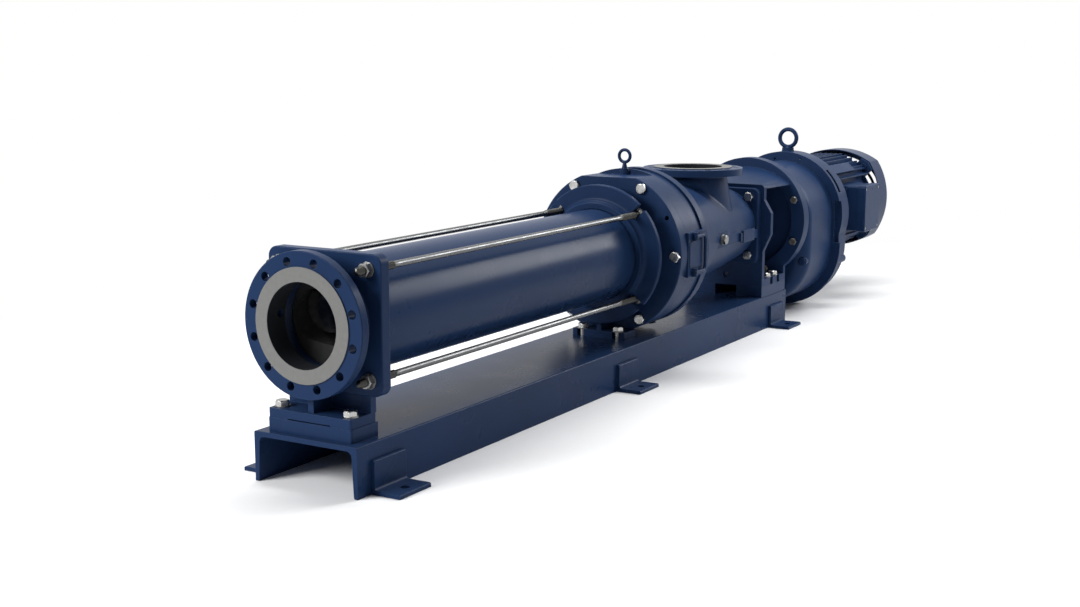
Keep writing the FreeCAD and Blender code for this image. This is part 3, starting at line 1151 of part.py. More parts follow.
def drive_line(parts):
    """Drive shaft with its joint socket, the leaning coupling rod and its pins."""
    shaft = SHAFT_DIA / 2
    head = JOINT_HEAD_DIA / 2
    cavity = JOINT_CAVITY_DIA / 2
    mouth = SHAFT_HEAD_END - JOINT_HEAD_LENGTH
    stub = OUTPUT_SHAFT_DIA / 2
    shaft_end = GEARBOX - 22
    body = turned([(mouth, cavity), (mouth, head), (SHAFT_HEAD_END - 8, head), (SHAFT_HEAD_END, shaft),
                   (shaft_end, shaft), (shaft_end, stub + SHAFT_GAP), (shaft_end - 132, stub + SHAFT_GAP),
                   (shaft_end - 132, 0), (SHAFT_HEAD_END - 16, 0), (SHAFT_HEAD_END - 16, cavity)])
    cross = Vector(shaft_end - 60, 0, -shaft - 2)
    pin = bar(cross, AXIS_Z, 10, 2 * shaft + 4)
    parts["drive_shaft"] = body.cut(bar(cross, AXIS_Z, 10 + SHAFT_GAP, 2 * shaft + 4))
    parts["shaft_pin"] = pin
    parts["shaft_joint_boot"] = joint_boot(mouth, -1)

    near = Vector(ROTOR_HEAD + 48, ECCENTRICITY, 0)
    far = Vector(SHAFT_HEAD_END - 50, 0, 0)
    length = (far - near).Length
    lean = math.degrees(math.atan2(-ECCENTRICITY, far.x - near.x))
    crown = cavity - SEAT_GAP
    half = JOINT_HEAD_HALF
    shank = turned([(0, 0), (0, ROD_DIA / 2), (length, ROD_DIA / 2), (length, 0)])
    heads = [Part.makeSphere(crown, Vector(x, 0, 0)).common(rod(x - half, x + half, crown))
             for x in (0, length)]
    straight = joined([shank] + heads)
    pin = JOINT_PIN_DIA / 2
    reach = math.sqrt(crown ** 2 - pin ** 2)
    pins = []
    for x in (0, length):
        straight = straight.cut(bar(Vector(x, 0, -crown - 1), AXIS_Z, pin + SHAFT_GAP, 2 * crown + 2))
        pins.append(bar(Vector(x, 0, -reach), AXIS_Z, pin, 2 * reach))
    for shape in [straight] + pins:
        shape.rotate(Vector(0, 0, 0), AXIS_Z, lean)
        shape.translate(near)
    parts["coupling_rod"] = straight
    parts["joint_pins"] = group(pins)


def gearbox(parts, fasteners):
    """Two housings, their screws and plugs, the eye bolt and the gear train."""
    body = rounded(oval(GEAR_BODY, GEAR_RIM + 1, GEAR_BODY_RADIUS), GEAR_BODY_FILLET,
                   lambda e: abs(e.CenterOfMass.x - GEAR_BODY) < 0.1)
    flange = rod(GEARBOX, GEAR_NECK, GEAR_FLANGE_DIA / 2)
    flange = bevelled(flange, 2, lambda e: e.Curve.TypeId == "Part::GeomCircle"
                      and abs(e.CenterOfMass.x - GEAR_NECK) < 0.1)
    neck = rod(GEAR_NECK - 1, GEAR_BODY + 1, GEAR_NECK_DIA / 2, 0, -4)
    rim = oval(GEAR_RIM, GEAR_REAR, GEAR_RIM_RADIUS)
    collar = rod(GEARBOX - 30, GEARBOX + 1, 92)
    front = joined([flange, neck, body, rim, collar])
    hollow = GEAR_BODY + 28
    front = front.cut(oval(hollow, GEAR_REAR + 1, GEAR_BODY_RADIUS - GEAR_WALL))
    stub = OUTPUT_SHAFT_DIA / 2
    bearing = OUTPUT_BEARING_DIA / 2 + SHAFT_GAP
    first = GEARBOX + 8
    second = hollow - BEARING_WIDTH
    front = front.cut(turned([(GEARBOX - 31, 0), (GEARBOX - 31, stub + 16), (first - 16, stub + 16),
                              (first - 16, stub + 4), (first, stub + 4), (first, bearing),
                              (first + BEARING_WIDTH, bearing), (first + BEARING_WIDTH, stub + 8),
                              (second, stub + 8), (second, bearing), (hollow + 1, bearing),
                              (hollow + 1, 0)]))
    lay_bearing = LAY_BEARING_DIA / 2 + SHAFT_GAP
    lay_front = hollow - BEARING_WIDTH * 0.7
    front = front.cut(rod(lay_front, hollow + 1, lay_bearing, 0, -LAY_DROP))
    for y, z in flange_bolt_places():
        front = front.cut(rod(GEARBOX - 1, GEAR_NECK + 1, GEAR_FLANGE_BOLT_SIZE / 2 + SHAFT_GAP, y, z))

    rear = joined([rod(GEAR_REAR, MOTOR, GEAR_RIM_RADIUS, 0, -GEAR_TOP_DROP),
                   rod(GEAR_REAR, MOTOR, GEAR_LOW_RADIUS, 0, -GEAR_LOW_DROP),
                   box(GEAR_REAR, MOTOR, -GEAR_LOW_RADIUS, GEAR_LOW_RADIUS, -GEAR_LOW_DROP, 0)])
    rear = rounded(rear, 6, lambda e: abs(e.CenterOfMass.x - MOTOR) < 0.1)
    rear = joined([rear] + rear_ears())
    rear_wall = MOTOR - GEAR_REAR_WALL
    rear = rear.cut(oval(GEAR_REAR - 1, rear_wall, GEAR_BODY_RADIUS - GEAR_WALL))
    rear = rear.cut(rod(rear_wall - 1, MOTOR + 1, MOTOR_BEARING_DIA / 2 + SHAFT_GAP, 0, -MOTOR_DROP))
    lay_end = rear_wall + BEARING_WIDTH * 0.7
    rear = rear.cut(rod(rear_wall - 1, lay_end, lay_bearing, 0, -LAY_DROP))
    for pocket in side_pockets():
        rear = rear.cut(pocket)
    boss_x = GEAR_REAR + LIFT_BOSS_SETBACK + LIFT_BOSS_DIA / 2
    rear = joined([rear, bar(Vector(boss_x, 0, GEAR_BODY_RADIUS - GEAR_TOP_DROP), AXIS_Z,
                             LIFT_BOSS_DIA / 2, LIFT_BOSS_TOP - GEAR_BODY_RADIUS + GEAR_TOP_DROP)])
    rear = rear.cut(bar(Vector(boss_x, 0, LIFT_BOSS_TOP - LIFT_EYE_DEPTH - 2), AXIS_Z,
                        LIFT_EYE_SCREW / 2 + SHAFT_GAP, LIFT_EYE_DEPTH + 12))
    screw = GEAR_SCREW_SIZE / 2
    screw_end = GEAR_REAR - 13
    for y, z in joint_screw_places():
        front = front.cut(rod(screw_end - 1, GEAR_REAR + 1, screw + SHAFT_GAP, y, z))
        rear = rear.cut(rod(GEAR_REAR - 1, MOTOR + 1, screw + HOLE_GAP, y, z))
        shank = rod(screw_end, MOTOR, screw, y, z)
        head = rod(MOTOR, MOTOR + GEAR_SCREW_SIZE, 0.75 * GEAR_SCREW_SIZE, y, z)
        fasteners.add("gearbox_screws", joined([head, shank]))
    for y, z in ((36.0, 198.0), (-68.0, 199.0)):
        front = front.cut(rod(GEAR_RIM - 1, GEAR_RIM + 8, DOWEL_HOLE / 2, y, z))
    for z in (-37.0, -88.0):
        for y in (-GEAR_LOW_RADIUS + 17, GEAR_LOW_RADIUS - 17):
            rear = rear.cut(rod(GEAR_REAR - 1, GEAR_REAR + 16, DOWEL_HOLE / 2, y, z))
    for side in (1, -1):
        edge = side * (GEAR_RIM_RADIUS + 1)
        inner = side * (GEAR_RIM_RADIUS - 26)
        front = front.cut(box(GEAR_RIM - 1, GEAR_REAR + 1, min(edge, inner), max(edge, inner),
                              RECESS_LOW, RECESS_TOP))
    for place in oil_plug_places():
        front = joined([front, bar(place, AXIS_X, DRAIN_SIZE, 24)])
        front = front.cut(bar(place - AXIS_X, AXIS_X, DRAIN_SIZE / 2 + SHAFT_GAP, 14))
        front = front.cut(bar(place, -AXIS_X, DRAIN_SIZE * 1.1, 30))
        fasteners.add("drain_plugs", small_plug(place, -AXIS_X))
    parts["gearbox_front_housing"] = front
    parts["gearbox_rear_housing"] = rear
    parts["gearbox_eye_bolt"] = eye_bolt(boss_x, LIFT_BOSS_TOP, LIFT_EYE_RISE, LIFT_EYE_OUTER,
                                         LIFT_EYE_INNER, LIFT_EYE_COLLAR, LIFT_EYE_SCREW, LIFT_EYE_DEPTH)

    gear_x = hollow + 14
    shaft_start = GEARBOX - 150
    parts["output_shaft"] = rod(shaft_start, gear_x + GEAR_WIDTH + 12, stub).cut(
        bar(Vector(GEARBOX - 82, 0, -stub - 1), AXIS_Z, 10 + SHAFT_GAP, 2 * stub + 2))
    parts["output_gear"] = gear(OUTPUT_TEETH, gear_x, gear_x + GEAR_WIDTH, OUTPUT_SHAFT_DIA + 0.1, 0,
                                -90.0)
    pinion_phase = 90.0 + 180.0 / LAY_PINION_TEETH
    input_x = rear_wall - 8 - INPUT_GEAR_WIDTH
    lay_shaft = rod(lay_front + 1, lay_end - 1, LAY_SHAFT_DIA / 2, 0, -LAY_DROP)
    pinion = gear(LAY_PINION_TEETH, gear_x, gear_x + GEAR_WIDTH, LAY_SHAFT_DIA - 2, -LAY_DROP,
                  pinion_phase)
    parts["lay_shaft"] = joined([lay_shaft, pinion])
    parts["lay_gear"] = gear(LAY_GEAR_TEETH, input_x, input_x + INPUT_GEAR_WIDTH, LAY_SHAFT_DIA + 0.1,
                             -LAY_DROP, 90.0 + 180.0 / LAY_GEAR_TEETH)
    parts["input_pinion"] = gear(INPUT_TEETH, input_x, input_x + INPUT_GEAR_WIDTH,
                                 MOTOR_SHAFT_DIA + 0.1, -MOTOR_DROP, -90.0)
    bearings = [bearing_ring(x, x + BEARING_WIDTH, OUTPUT_BEARING_DIA / 2, stub, 0.0)
                for x in (first, second)]
    bearings += [bearing_ring(x, x + BEARING_WIDTH * 0.7, LAY_BEARING_DIA / 2, LAY_SHAFT_DIA / 2,
                              -LAY_DROP) for x in (lay_front, rear_wall)]
    parts["gearbox_bearings"] = group(bearings)
    parts["output_oil_seal"] = ring(first - 15, first, stub + 4 - 0.1, stub + SHAFT_GAP).fuse(
        ring(first - 28, first - 16, stub + 16 - SEAT_GAP, stub + SHAFT_GAP)).removeSplitter()


def rear_ears():
    """Ears on the lower sides of the rear housing that take the joint screws."""
    ears = []
    for y, z in joint_screw_places():
        if z > -GEAR_TOP_DROP:
            continue
        ear = rod(GEAR_REAR, MOTOR, 16, y, z)
        inward = Vector(0, -y, -GEAR_LOW_DROP - z).normalize()
        web = box(GEAR_REAR, MOTOR - 7, 0, 40, -16, 16)
        web.rotate(Vector(0, 0, 0), AXIS_X, math.degrees(math.atan2(inward.z, inward.y)))
        web.translate(Vector(0, y, z))
        ears += [ear, web]
    return ears


def side_pockets():
    """Open pockets in the rim of the rear housing, right behind the joint."""
    pockets = []
    for angle in (34.0, 146.0):
        pocket = box(GEAR_REAR - 1, GEAR_REAR + GEAR_POCKET, GEAR_RIM_RADIUS - 20,
                     GEAR_RIM_RADIUS + 20, -50, 50)
        pocket.rotate(Vector(0, 0, 0), AXIS_X, angle)
        pocket.translate(Vector(0, 0, -GEAR_TOP_DROP))
        pockets.append(pocket)
    return pockets


def joint_screw_places():
    """Places of the screws that join the two gearbox housings."""
    reach = GEAR_RIM_RADIUS - 17
    places = []
    for side in (1, -1):
        for angle in (74.0, 56.0):
            y, z = polar(reach, angle, -GEAR_TOP_DROP)
            places.append((side * y, z))
        for angle in (-68.0, -14.0):
            y, z = polar(reach, angle, -GEAR_LOW_DROP)
            places.append((side * y, z))
    return places


def oil_plug_places():
    """Seats of the oil plugs on the front wall of the front housing."""
    seat = GEAR_BODY + 12
    return [Vector(seat, side * 186.0, -162.0) for side in (1, -1)] + [
        Vector(GEAR_BODY - 1, 0.0, -GEAR_LOW_DROP - 140.0)]


def bearing_ring(x0, x1, outer, inner, z):
    """Bearing as one ring with a groove between its races."""
    body = ring(x0, x1, outer, inner + SHAFT_GAP, 0, z)
    middle = (outer + inner) / 2
    width = (outer - inner) * 0.14
    for edge in (x0 - 1, x1 - 2):
        body = body.cut(ring(edge, edge + 3, middle + width, middle - width, 0, z))
    return body


def fins():
    """Cooling fins: upright ones above and below, level ones on both sides."""
    plates = []
    start = MOTOR + 26
    end = MOTOR + MOTOR_FRAME_LENGTH - 16
    z0 = -MOTOR_DROP
    reach = MOTOR_FIN_RADIUS
    root = MOTOR_FRAME_RADIUS - 4
    steps = int(root * 0.86 / MOTOR_FIN_PITCH)
    for i in range(-steps, steps + 1):
        offset = i * MOTOR_FIN_PITCH
        inner = math.sqrt(root ** 2 - offset ** 2)
        outer = min(math.sqrt(reach ** 2 - offset ** 2), reach * 0.97)
        for side in (1, -1):
            low = min(side * inner, side * outer)
            high = max(side * inner, side * outer)
            plates.append(box(start, end, offset - MOTOR_FIN_THICK / 2, offset + MOTOR_FIN_THICK / 2,
                              z0 + low, z0 + high))
            if abs(offset) > BOX_HEIGHT / 2 or side > 0:
                plates.append(box(start, end, low, high, z0 + offset - MOTOR_FIN_THICK / 2,
                                  z0 + offset + MOTOR_FIN_THICK / 2))
    return plates


def motor(parts):
    """Finned motor with its terminal box, core, rotor, fan and cowl."""
    z0 = -MOTOR_DROP
    box_z = z0 - BOX_DROP
    frame_end = MOTOR + MOTOR_FRAME_LENGTH
    outer = MOTOR_FRAME_RADIUS
    inner = outer - MOTOR_FRAME_WALL
    shell = ring(MOTOR, frame_end, outer, inner, 0, z0)
    front_flange = ring(MOTOR, MOTOR + 22, MOTOR_FIN_RADIUS, inner, 0, z0)
    rear_band = ring(frame_end - 14, frame_end, outer + 14, inner, 0, z0)
    seat = box(MOTOR + BOX_START - 10, MOTOR + BOX_START + BOX_LENGTH + 10, -190, -outer + 20,
               box_z - BOX_HEIGHT / 2, box_z + BOX_HEIGHT / 2)
    placed = []
    pad_start = MOTOR + MOTOR_PAD_START
    pad_end = pad_start + MOTOR_PAD_LENGTH
    pad_top = MOTOR_FIN_RADIUS - 8 + MOTOR_PAD_THICK
    for side in (1, -1):
        pad = box(pad_start, pad_end, -MOTOR_PAD_WIDTH / 2, MOTOR_PAD_WIDTH / 2,
                  pad_top - MOTOR_PAD_THICK, pad_top)
        web = box(pad_start, pad_end, -9, 9, outer - 6, pad_top - 4)
        for piece in (pad, web):
            piece.rotate(Vector(0, 0, 0), AXIS_X, side * MOTOR_PAD_ANGLE)
            piece.translate(Vector(0, 0, z0))
            placed.append(piece)
    frame = joined([shell, front_flange, rear_band, seat] + placed + fins())
    frame = frame.cut(rod(MOTOR - 1, frame_end + 1, inner, 0, z0))
    parts["motor_frame"] = frame

    box_y = -190.0
    lid_y = BOX_LID - BOX_FACE
    base = box(MOTOR + BOX_START, MOTOR + BOX_START + BOX_LENGTH, lid_y, box_y,
               box_z - BOX_HEIGHT / 2, box_z + BOX_HEIGHT / 2)
    base = rounded(base, BOX_RADIUS, lambda e: along(e, AXIS_Y))
    hollow = box(MOTOR + BOX_START + 8, MOTOR + BOX_START + BOX_LENGTH - 8, lid_y - 1, box_y - 8,
                 box_z - BOX_HEIGHT / 2 + 8, box_z + BOX_HEIGHT / 2 - 8)
    base = base.cut(hollow)
    lid = box(MOTOR + BOX_START - 2, MOTOR + BOX_START + BOX_LENGTH + 2, -BOX_FACE, lid_y,
              box_z - BOX_HEIGHT / 2 - 2, box_z + BOX_HEIGHT / 2 + 2)
    lid = rounded(lid, BOX_RADIUS, lambda e: along(e, AXIS_Y))
    lid = bevelled(lid, 3, lambda e: abs(e.CenterOfMass.y + BOX_FACE) < 0.1)
    screws = []
    for x in (MOTOR + BOX_START + 12, MOTOR + BOX_START + BOX_LENGTH - 12):
        for z in (box_z - BOX_HEIGHT / 2 + 12, box_z + BOX_HEIGHT / 2 - 12):
            place = Vector(x, -BOX_FACE - 1, z)
            lid = lid.cut(bar(place, AXIS_Y, 6.5, 7)).cut(bar(place, AXIS_Y, 3.5, BOX_LID + 4))
            post = bar(Vector(x, lid_y, z), AXIS_Y, 8, box_y - lid_y)
            base = base.fuse(post)
            base = base.cut(bar(Vector(x, lid_y - 1, z), AXIS_Y, 3.05, 16))
            head = bar(Vector(x, -BOX_FACE + 1, z), AXIS_Y, 6, 5)
            screws.append(head.fuse(bar(Vector(x, -BOX_FACE + 5, z), AXIS_Y, 3, BOX_LID + 8)))
    parts["terminal_box"] = base.removeSplitter()
    parts["terminal_box_lid"] = lid
    parts["terminal_box_screws"] = group([s.removeSplitter() for s in screws])

    shield_start = frame_end - 12
    bearing = MOTOR_BEARING_DIA / 2
    cowl_start = frame_end + SHIELD_RIM
    shield = turned([(shield_start, bearing + SHAFT_GAP), (shield_start, inner - SEAT_GAP),
                     (frame_end, inner - SEAT_GAP), (frame_end, outer + 10), (cowl_start, outer + 10),
                     (cowl_start, bearing + 14), (frame_end + 16, bearing + 14),
                     (frame_end + 16, MOTOR_SHAFT_DIA / 2 + 3), (frame_end + 12, MOTOR_SHAFT_DIA / 2 + 3),
                     (frame_end + 12, bearing + SHAFT_GAP)], 0, z0)
    ears = []
    for a in angles(4, 45.0):
        ear = box(frame_end, cowl_start + COWL_OVERLAP, outer - 10, COWL_SIDE_RADIUS, -32, 32)
        ear.rotate(Vector(0, 0, 0), AXIS_X, a)
        ear.translate(Vector(0, 0, z0))
        ears.append(ear.common(cowl_section(frame_end, cowl_start + COWL_OVERLAP, COWL_WALL + SEAT_GAP, z0)))
        y, z = polar(COWL_HALF - 12, a, z0)
        ears.append(rod(frame_end - 5, frame_end + 1, 13, y, z))
    shield = joined([shield] + ears)
    parts["motor_end_shield"] = shield
    shaft = MOTOR_SHAFT_DIA / 2
    bearings = [bearing_ring(x, x + MOTOR_BEARING_WIDTH, bearing, shaft, z0)
                for x in (MOTOR - GEAR_REAR_WALL, shield_start)]
    parts["motor_bearings"] = group(bearings)
    core_start = MOTOR + (MOTOR_FRAME_LENGTH - CORE_LENGTH) / 2
    core_end = core_start + CORE_LENGTH
    parts["stator_core"] = ring(core_start, core_end, inner - 0.1, CORE_BORE / 2, 0, z0)
    windings = [ring(x, x + 34, inner - 10, CORE_BORE / 2 + 8, 0, z0) for x in (core_start - 34, core_end)]
    parts["motor_windings"] = group(windings)
    parts["motor_rotor_core"] = ring(core_start, core_end, CORE_BORE / 2 - AIR_GAP, shaft + SHAFT_GAP,
                                     0, z0)
    fan_x = frame_end + 34
    parts["motor_shaft"] = rod(GEAR_REAR + 8, fan_x + 34, shaft, 0, z0)
    parts["motor_fan"] = fan(fan_x, z0)
    parts["fan_cowl"] = cowl(z0)


def fan(x, z0):
    """Straight-bladed fan on a disc and hub."""
    shaft = MOTOR_SHAFT_DIA / 2
    disc = rod(x, x + 5, 150, 0, z0)
    hub = rod(x, x + 32, shaft + 14, 0, z0)
    blades = []
    for a in angles(FAN_BLADES):
        blade = box(x + 4, x + 36, 60, FAN_RADIUS, -2.5, 2.5)
        blade.rotate(Vector(0, 0, 0), AXIS_X, a)
        blade.translate(Vector(0, 0, z0))
        blades.append(blade)
    return joined([disc, hub] + blades).cut(rod(x - 1, x + 40, shaft + SHAFT_GAP, 0, z0))


def cowl_section(x0, x1, inset, z0):
    """Length of the cowl's section: four flat arcs that meet in round corners."""
    reach = COWL_SIDE_RADIUS - COWL_HALF
    sides = [rod(x0, x1, COWL_SIDE_RADIUS - inset, y, z0 + z)
             for y, z in ((reach, 0), (-reach, 0), (0, reach), (0, -reach))]
    body = sides[0].common(sides[1]).common(sides[2]).common(sides[3])
    return rounded(body, COWL_CORNER - inset, lambda e: along(e, AXIS_X))


def cowl(z0):
    """Fan cowl with ring slots and ribs in its end."""
    start = MOTOR_END - COWL_LENGTH
    wall = COWL_WALL
    bend = 3 * wall
    body = rounded(cowl_section(start, MOTOR_END, 0, z0), bend, lambda e: e.CenterOfMass.x > MOTOR_END - 0.1)
    body = body.cut(cowl_section(start - 1, MOTOR_END - bend, wall, z0))
    body = body.cut(rod(MOTOR_END - bend - 1, MOTOR_END - wall, COWL_HALF - bend - wall, 0, z0))
    inner = 36.0
    pitch = (COWL_HALF - 24 - inner) / GRILLE_RINGS
    for i in range(GRILLE_RINGS):
        radius = inner + i * pitch
        body = body.cut(ring(MOTOR_END - wall - 1, MOTOR_END + 1, radius + pitch * 0.55, radius, 0, z0))
    ribs = []
    for a in angles(GRILLE_RIBS):
        rib = box(MOTOR_END - wall, MOTOR_END, 0, COWL_HALF - 20, -4, 4)
        rib.rotate(Vector(0, 0, 0), AXIS_X, a)
        rib.translate(Vector(0, 0, z0))
        ribs.append(rib)
    return joined([body] + ribs)


def main():
    """Build every piece, move it to the part's frame and write its file."""
    parts = {}
    fasteners = Fasteners()
    base_frame(parts)
    discharge_end(parts, fasteners)
    stator(parts)
    rotor(parts)
    tie_rods(parts, fasteners)
    casing_cover(parts, fasteners)
    access_drum(parts, fasteners)
    suction_casing(parts, fasteners)
    lantern(parts, fasteners)
    shaft_seal(parts)
    drive_line(parts)
    gearbox(parts, fasteners)
    motor(parts)
    fasteners.store(parts)
    os.makedirs("parts", exist_ok=True)
    shift = Vector(-ANCHOR_MIDDLE, 0, AXIS_HEIGHT)
    for name, shape in parts.items():
        placed = shape.copy()
        placed.translate(shift)
        placed.exportStep(f"parts/{name}.step")
        size = placed.BoundBox
        print(name, "solids", len(placed.Solids), "valid", placed.isValid(),
              [round(v) for v in (size.XLength, size.YLength, size.ZLength)])


main()
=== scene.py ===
"""Looks of a progressive cavity pump: finishes, threads of the tie rods, studio and camera."""

import logging
import math
from dataclasses import dataclass, field
from enum import Enum

import bpy
import numpy as np
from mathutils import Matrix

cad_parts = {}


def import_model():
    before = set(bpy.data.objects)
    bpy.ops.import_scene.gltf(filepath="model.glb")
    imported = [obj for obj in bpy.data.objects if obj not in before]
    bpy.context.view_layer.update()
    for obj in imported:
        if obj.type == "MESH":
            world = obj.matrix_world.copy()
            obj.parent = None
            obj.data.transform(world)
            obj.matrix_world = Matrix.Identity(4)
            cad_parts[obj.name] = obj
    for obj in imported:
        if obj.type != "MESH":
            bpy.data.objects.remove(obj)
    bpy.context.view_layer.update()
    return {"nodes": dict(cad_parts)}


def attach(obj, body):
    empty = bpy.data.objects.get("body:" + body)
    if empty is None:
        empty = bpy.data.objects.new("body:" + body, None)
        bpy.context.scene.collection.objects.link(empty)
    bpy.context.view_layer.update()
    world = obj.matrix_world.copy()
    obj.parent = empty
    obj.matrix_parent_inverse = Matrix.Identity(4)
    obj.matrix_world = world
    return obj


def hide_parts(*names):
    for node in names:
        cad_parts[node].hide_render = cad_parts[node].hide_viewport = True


LOG = logging.getLogger("pump")

Colour = tuple[float, float, float]
Array = np.ndarray

# Where the parts lie in the model's frame, in metres
AXIS_HEIGHT = 0.380
FRONT_FACE = -1.289
SUCTION_X = 0.770
SUCTION_FACE = 0.605
ROD_SHANK_START = -1.115
ROD_SHANK_END = -0.002

# Bare faces and bores of the two flanges, in metres
FACE_RADIUS = 0.1342
FACE_SKIN = 0.0005
PORT_RADIUS = 0.1015
PORT_DEPTH = 0.240
INLET_RADIUS = 0.1008
INLET_DEPTH = 0.160
BORE_START = 0.0006
OUTSIDE = 0.001
# Near-black painted shade inside the bores of the two flanges
BORE_PAINTED_SHADE: Colour = (0.020, 0.022, 0.026)

# Sockets of a Mix node that take and give colours, and the cosine where an edge takes the full painted
# highlight
MIX_FIRST, MIX_SECOND, MIX_RESULT = 6, 7, 2
FULL_HIGHLIGHT_EDGE = 0.75


class Axis(Enum):
    """Direction that a grain or a zone follows."""

    X = 0
    Y = 1
    Z = 2


@dataclass(frozen=True)
class Zone:
    """Round region of a piece that has no paint, or that has a near-black painted shade instead of paint.

    It is a length along an axis through the centre, inside a radius. The roughness is
    what the zone has beyond the paint's.
    """

    axis: Axis
    low: float
    high: float
    radius: float
    centre: tuple[float, float, float]
    colour: Colour = (0.190, 0.190, 0.185)
    roughness: float = 0.20


class Graph:
    """Short calls for the nodes of one material."""

    def __init__(self, name: str) -> None:
        """Start an empty material.

        Args:
            name: Name of the material.
        """
        self.material = bpy.data.materials.new(name)
        self.material.use_nodes = True
        self.tree = self.material.node_tree
        self.tree.nodes.clear()
        self.output = self.tree.nodes.new("ShaderNodeOutputMaterial")
        self.coordinates = self.tree.nodes.new("ShaderNodeTexCoord").outputs["Object"]

    def add(self, kind: str, **settings: object) -> bpy.types.Node:
        """New node with its plain settings.

        Args:
            kind: Blender's name of the node type.
            settings: Attributes to set on it.

        Returns:
            The node.
        """
        node = self.tree.nodes.new(kind)
        for key, value in settings.items():
            setattr(node, key, value)
        return node

    def join(self, source: object, target: bpy.types.NodeSocket) -> None:
        """Put a link, a number or a colour into a socket.

        Args:
            source: Output to link, or the value.
            target: Input that takes it.
        """
        if isinstance(source, bpy.types.NodeSocket):
            self.tree.links.new(source, target)
        else:
            target.default_value = source

    def math(self, operation: str, first: object, second: object = 0.0) -> bpy.types.NodeSocket:
        """Result of a Math node.

        Args:
            operation: Name of the operation.
            first: First value or link.
            second: Second value or link.

        Returns:
            The node's output.
        """
        node = self.add("ShaderNodeMath", operation=operation)
        for socket, value in zip(node.inputs, (first, second)):
            self.join(value, socket)
        return node.outputs[0]

    def noise(self, scale: float, detail: float = 3.0, roughness: float = 0.5,
              stretch: Colour = (1.0, 1.0, 1.0)) -> bpy.types.NodeSocket:
        """Noise on Object coordinates.

        Args:
            scale: Patches to the metre.
            detail: Octaves.
            roughness: Weight of the finer octaves.
            stretch: Factor of the scale along each axis.

        Returns:
            The grey value, near 0.5 on average.
        """
        mapping = self.add("ShaderNodeMapping")
        mapping.inputs["Scale"].default_value = stretch
        self.join(self.coordinates, mapping.inputs["Vector"])
        node = self.add("ShaderNodeTexNoise")
        node.inputs["Scale"].default_value = scale
        node.inputs["Detail"].default_value = detail
        node.inputs["Roughness"].default_value = roughness
        self.join(mapping.outputs[0], node.inputs["Vector"])
        return node.outputs["Fac"]

    def spread(self, value: object, low: float, high: float, to_low: float,
               to_high: float) -> bpy.types.NodeSocket:
        """Value carried from one range to another, held at the ends.

        Args:
            value: Number or link.
            low: Start of its range.
            high: End of its range.
            to_low: Result at the start.
            to_high: Result at the end.

        Returns:
            The result.
        """
        node = self.add("ShaderNodeMapRange", clamp=True)
        for socket, number in zip(node.inputs[:5], (value, low, high, to_low, to_high)):
            self.join(number, socket)
        return node.outputs[0]

    def patches(self, scale: float, low: float, high: float, detail: float = 3.0, roughness: float = 0.5,
                window: tuple[float, float] = (0.3, 0.7)) -> bpy.types.NodeSocket:
        """Noise carried from its middle values to a range.

        Args:
            scale: Patches to the metre.
            low: Result where the noise is low.
            high: Result where the noise is high.
            detail: Octaves.
            roughness: Weight of the finer octaves.
            window: Values of the noise between which the result changes.

        Returns:
            The result.
        """
        return self.spread(self.noise(scale, detail, roughness), window[0], window[1], low, high)

    def mix(self, share: object, first: object, second: object) -> bpy.types.NodeSocket:
        """Colour between two colours.

        Args:
            share: Share of the second colour.
            first: First colour or link.
            second: Second colour or link.

        Returns:
            The mixed colour.
        """
        node = self.add("ShaderNodeMix", data_type="RGBA")
        self.join(share, node.inputs[0])
        for value, socket in ((first, node.inputs[MIX_FIRST]), (second, node.inputs[MIX_SECOND])):
            self.join(value if isinstance(value, bpy.types.NodeSocket) else (*value, 1.0), socket)
        return node.outputs[MIX_RESULT]

    def bump(self, height: object, distance: float, strength: float = 1.0,
             normal: object = None) -> bpy.types.NodeSocket:
        """Normal of a surface with a height.

        Args:
            height: Link with the height's shape.
            distance: Depth in metres.
            strength: Share of the depth that shows.
            normal: Normal to start from.

        Returns:
            The new normal.
        """
        node = self.add("ShaderNodeBump")
        node.inputs["Strength"].default_value = strength
        node.inputs["Distance"].default_value = distance
        self.join(height, node.inputs["Height"])
        if normal is not None:
            self.join(normal, node.inputs["Normal"])
        return node.outputs[0]

    def edge(self, radius: float) -> tuple[bpy.types.NodeSocket, bpy.types.NodeSocket]:
        """Normal rounded at the edges, and how near an edge is.

        Args:
            radius: Radius of the rounding in metres.

        Returns:
            The rounded normal, and a value that is 0 on faces and rises on edges.
        """
        bevel = self.add("ShaderNodeBevel", samples=4)
        bevel.inputs["Radius"].default_value = radius
        plain = self.add("ShaderNodeNewGeometry").outputs["Normal"]
        dot = self.add("ShaderNodeVectorMath", operation="DOT_PRODUCT")
        self.join(bevel.outputs[0], dot.inputs[0])
        self.join(plain, dot.inputs[1])
        return bevel.outputs[0], self.spread(dot.outputs["Value"], 1.0, FULL_HIGHLIGHT_EDGE, 0.0, 1.0)

    def inside(self, zone: Zone) -> bpy.types.NodeSocket:
        """Mask that is 1 within a zone and 0 elsewhere.

        Args:
            zone: The round region.

        Returns:
            The mask.
        """
        move = self.add("ShaderNodeVectorMath", operation="SUBTRACT")
        self.join(self.coordinates, move.inputs[0])
        move.inputs[1].default_value = zone.centre
        split = self.add("ShaderNodeSeparateXYZ")
        self.join(move.outputs[0], split.inputs[0])
        others = [split.outputs[i] for i in range(3) if i != zone.axis.value]
        squares = self.math("ADD", self.math("POWER", others[0], 2.0), self.math("POWER", others[1], 2.0))
        distance = self.math("SQRT", squares)
        along = split.outputs[zone.axis.value]
        length = self.math("MULTIPLY", self.math("GREATER_THAN", along, zone.low),
                           self.math("LESS_THAN", along, zone.high))
        return self.math("MULTIPLY", length, self.math("LESS_THAN", distance, zone.radius))

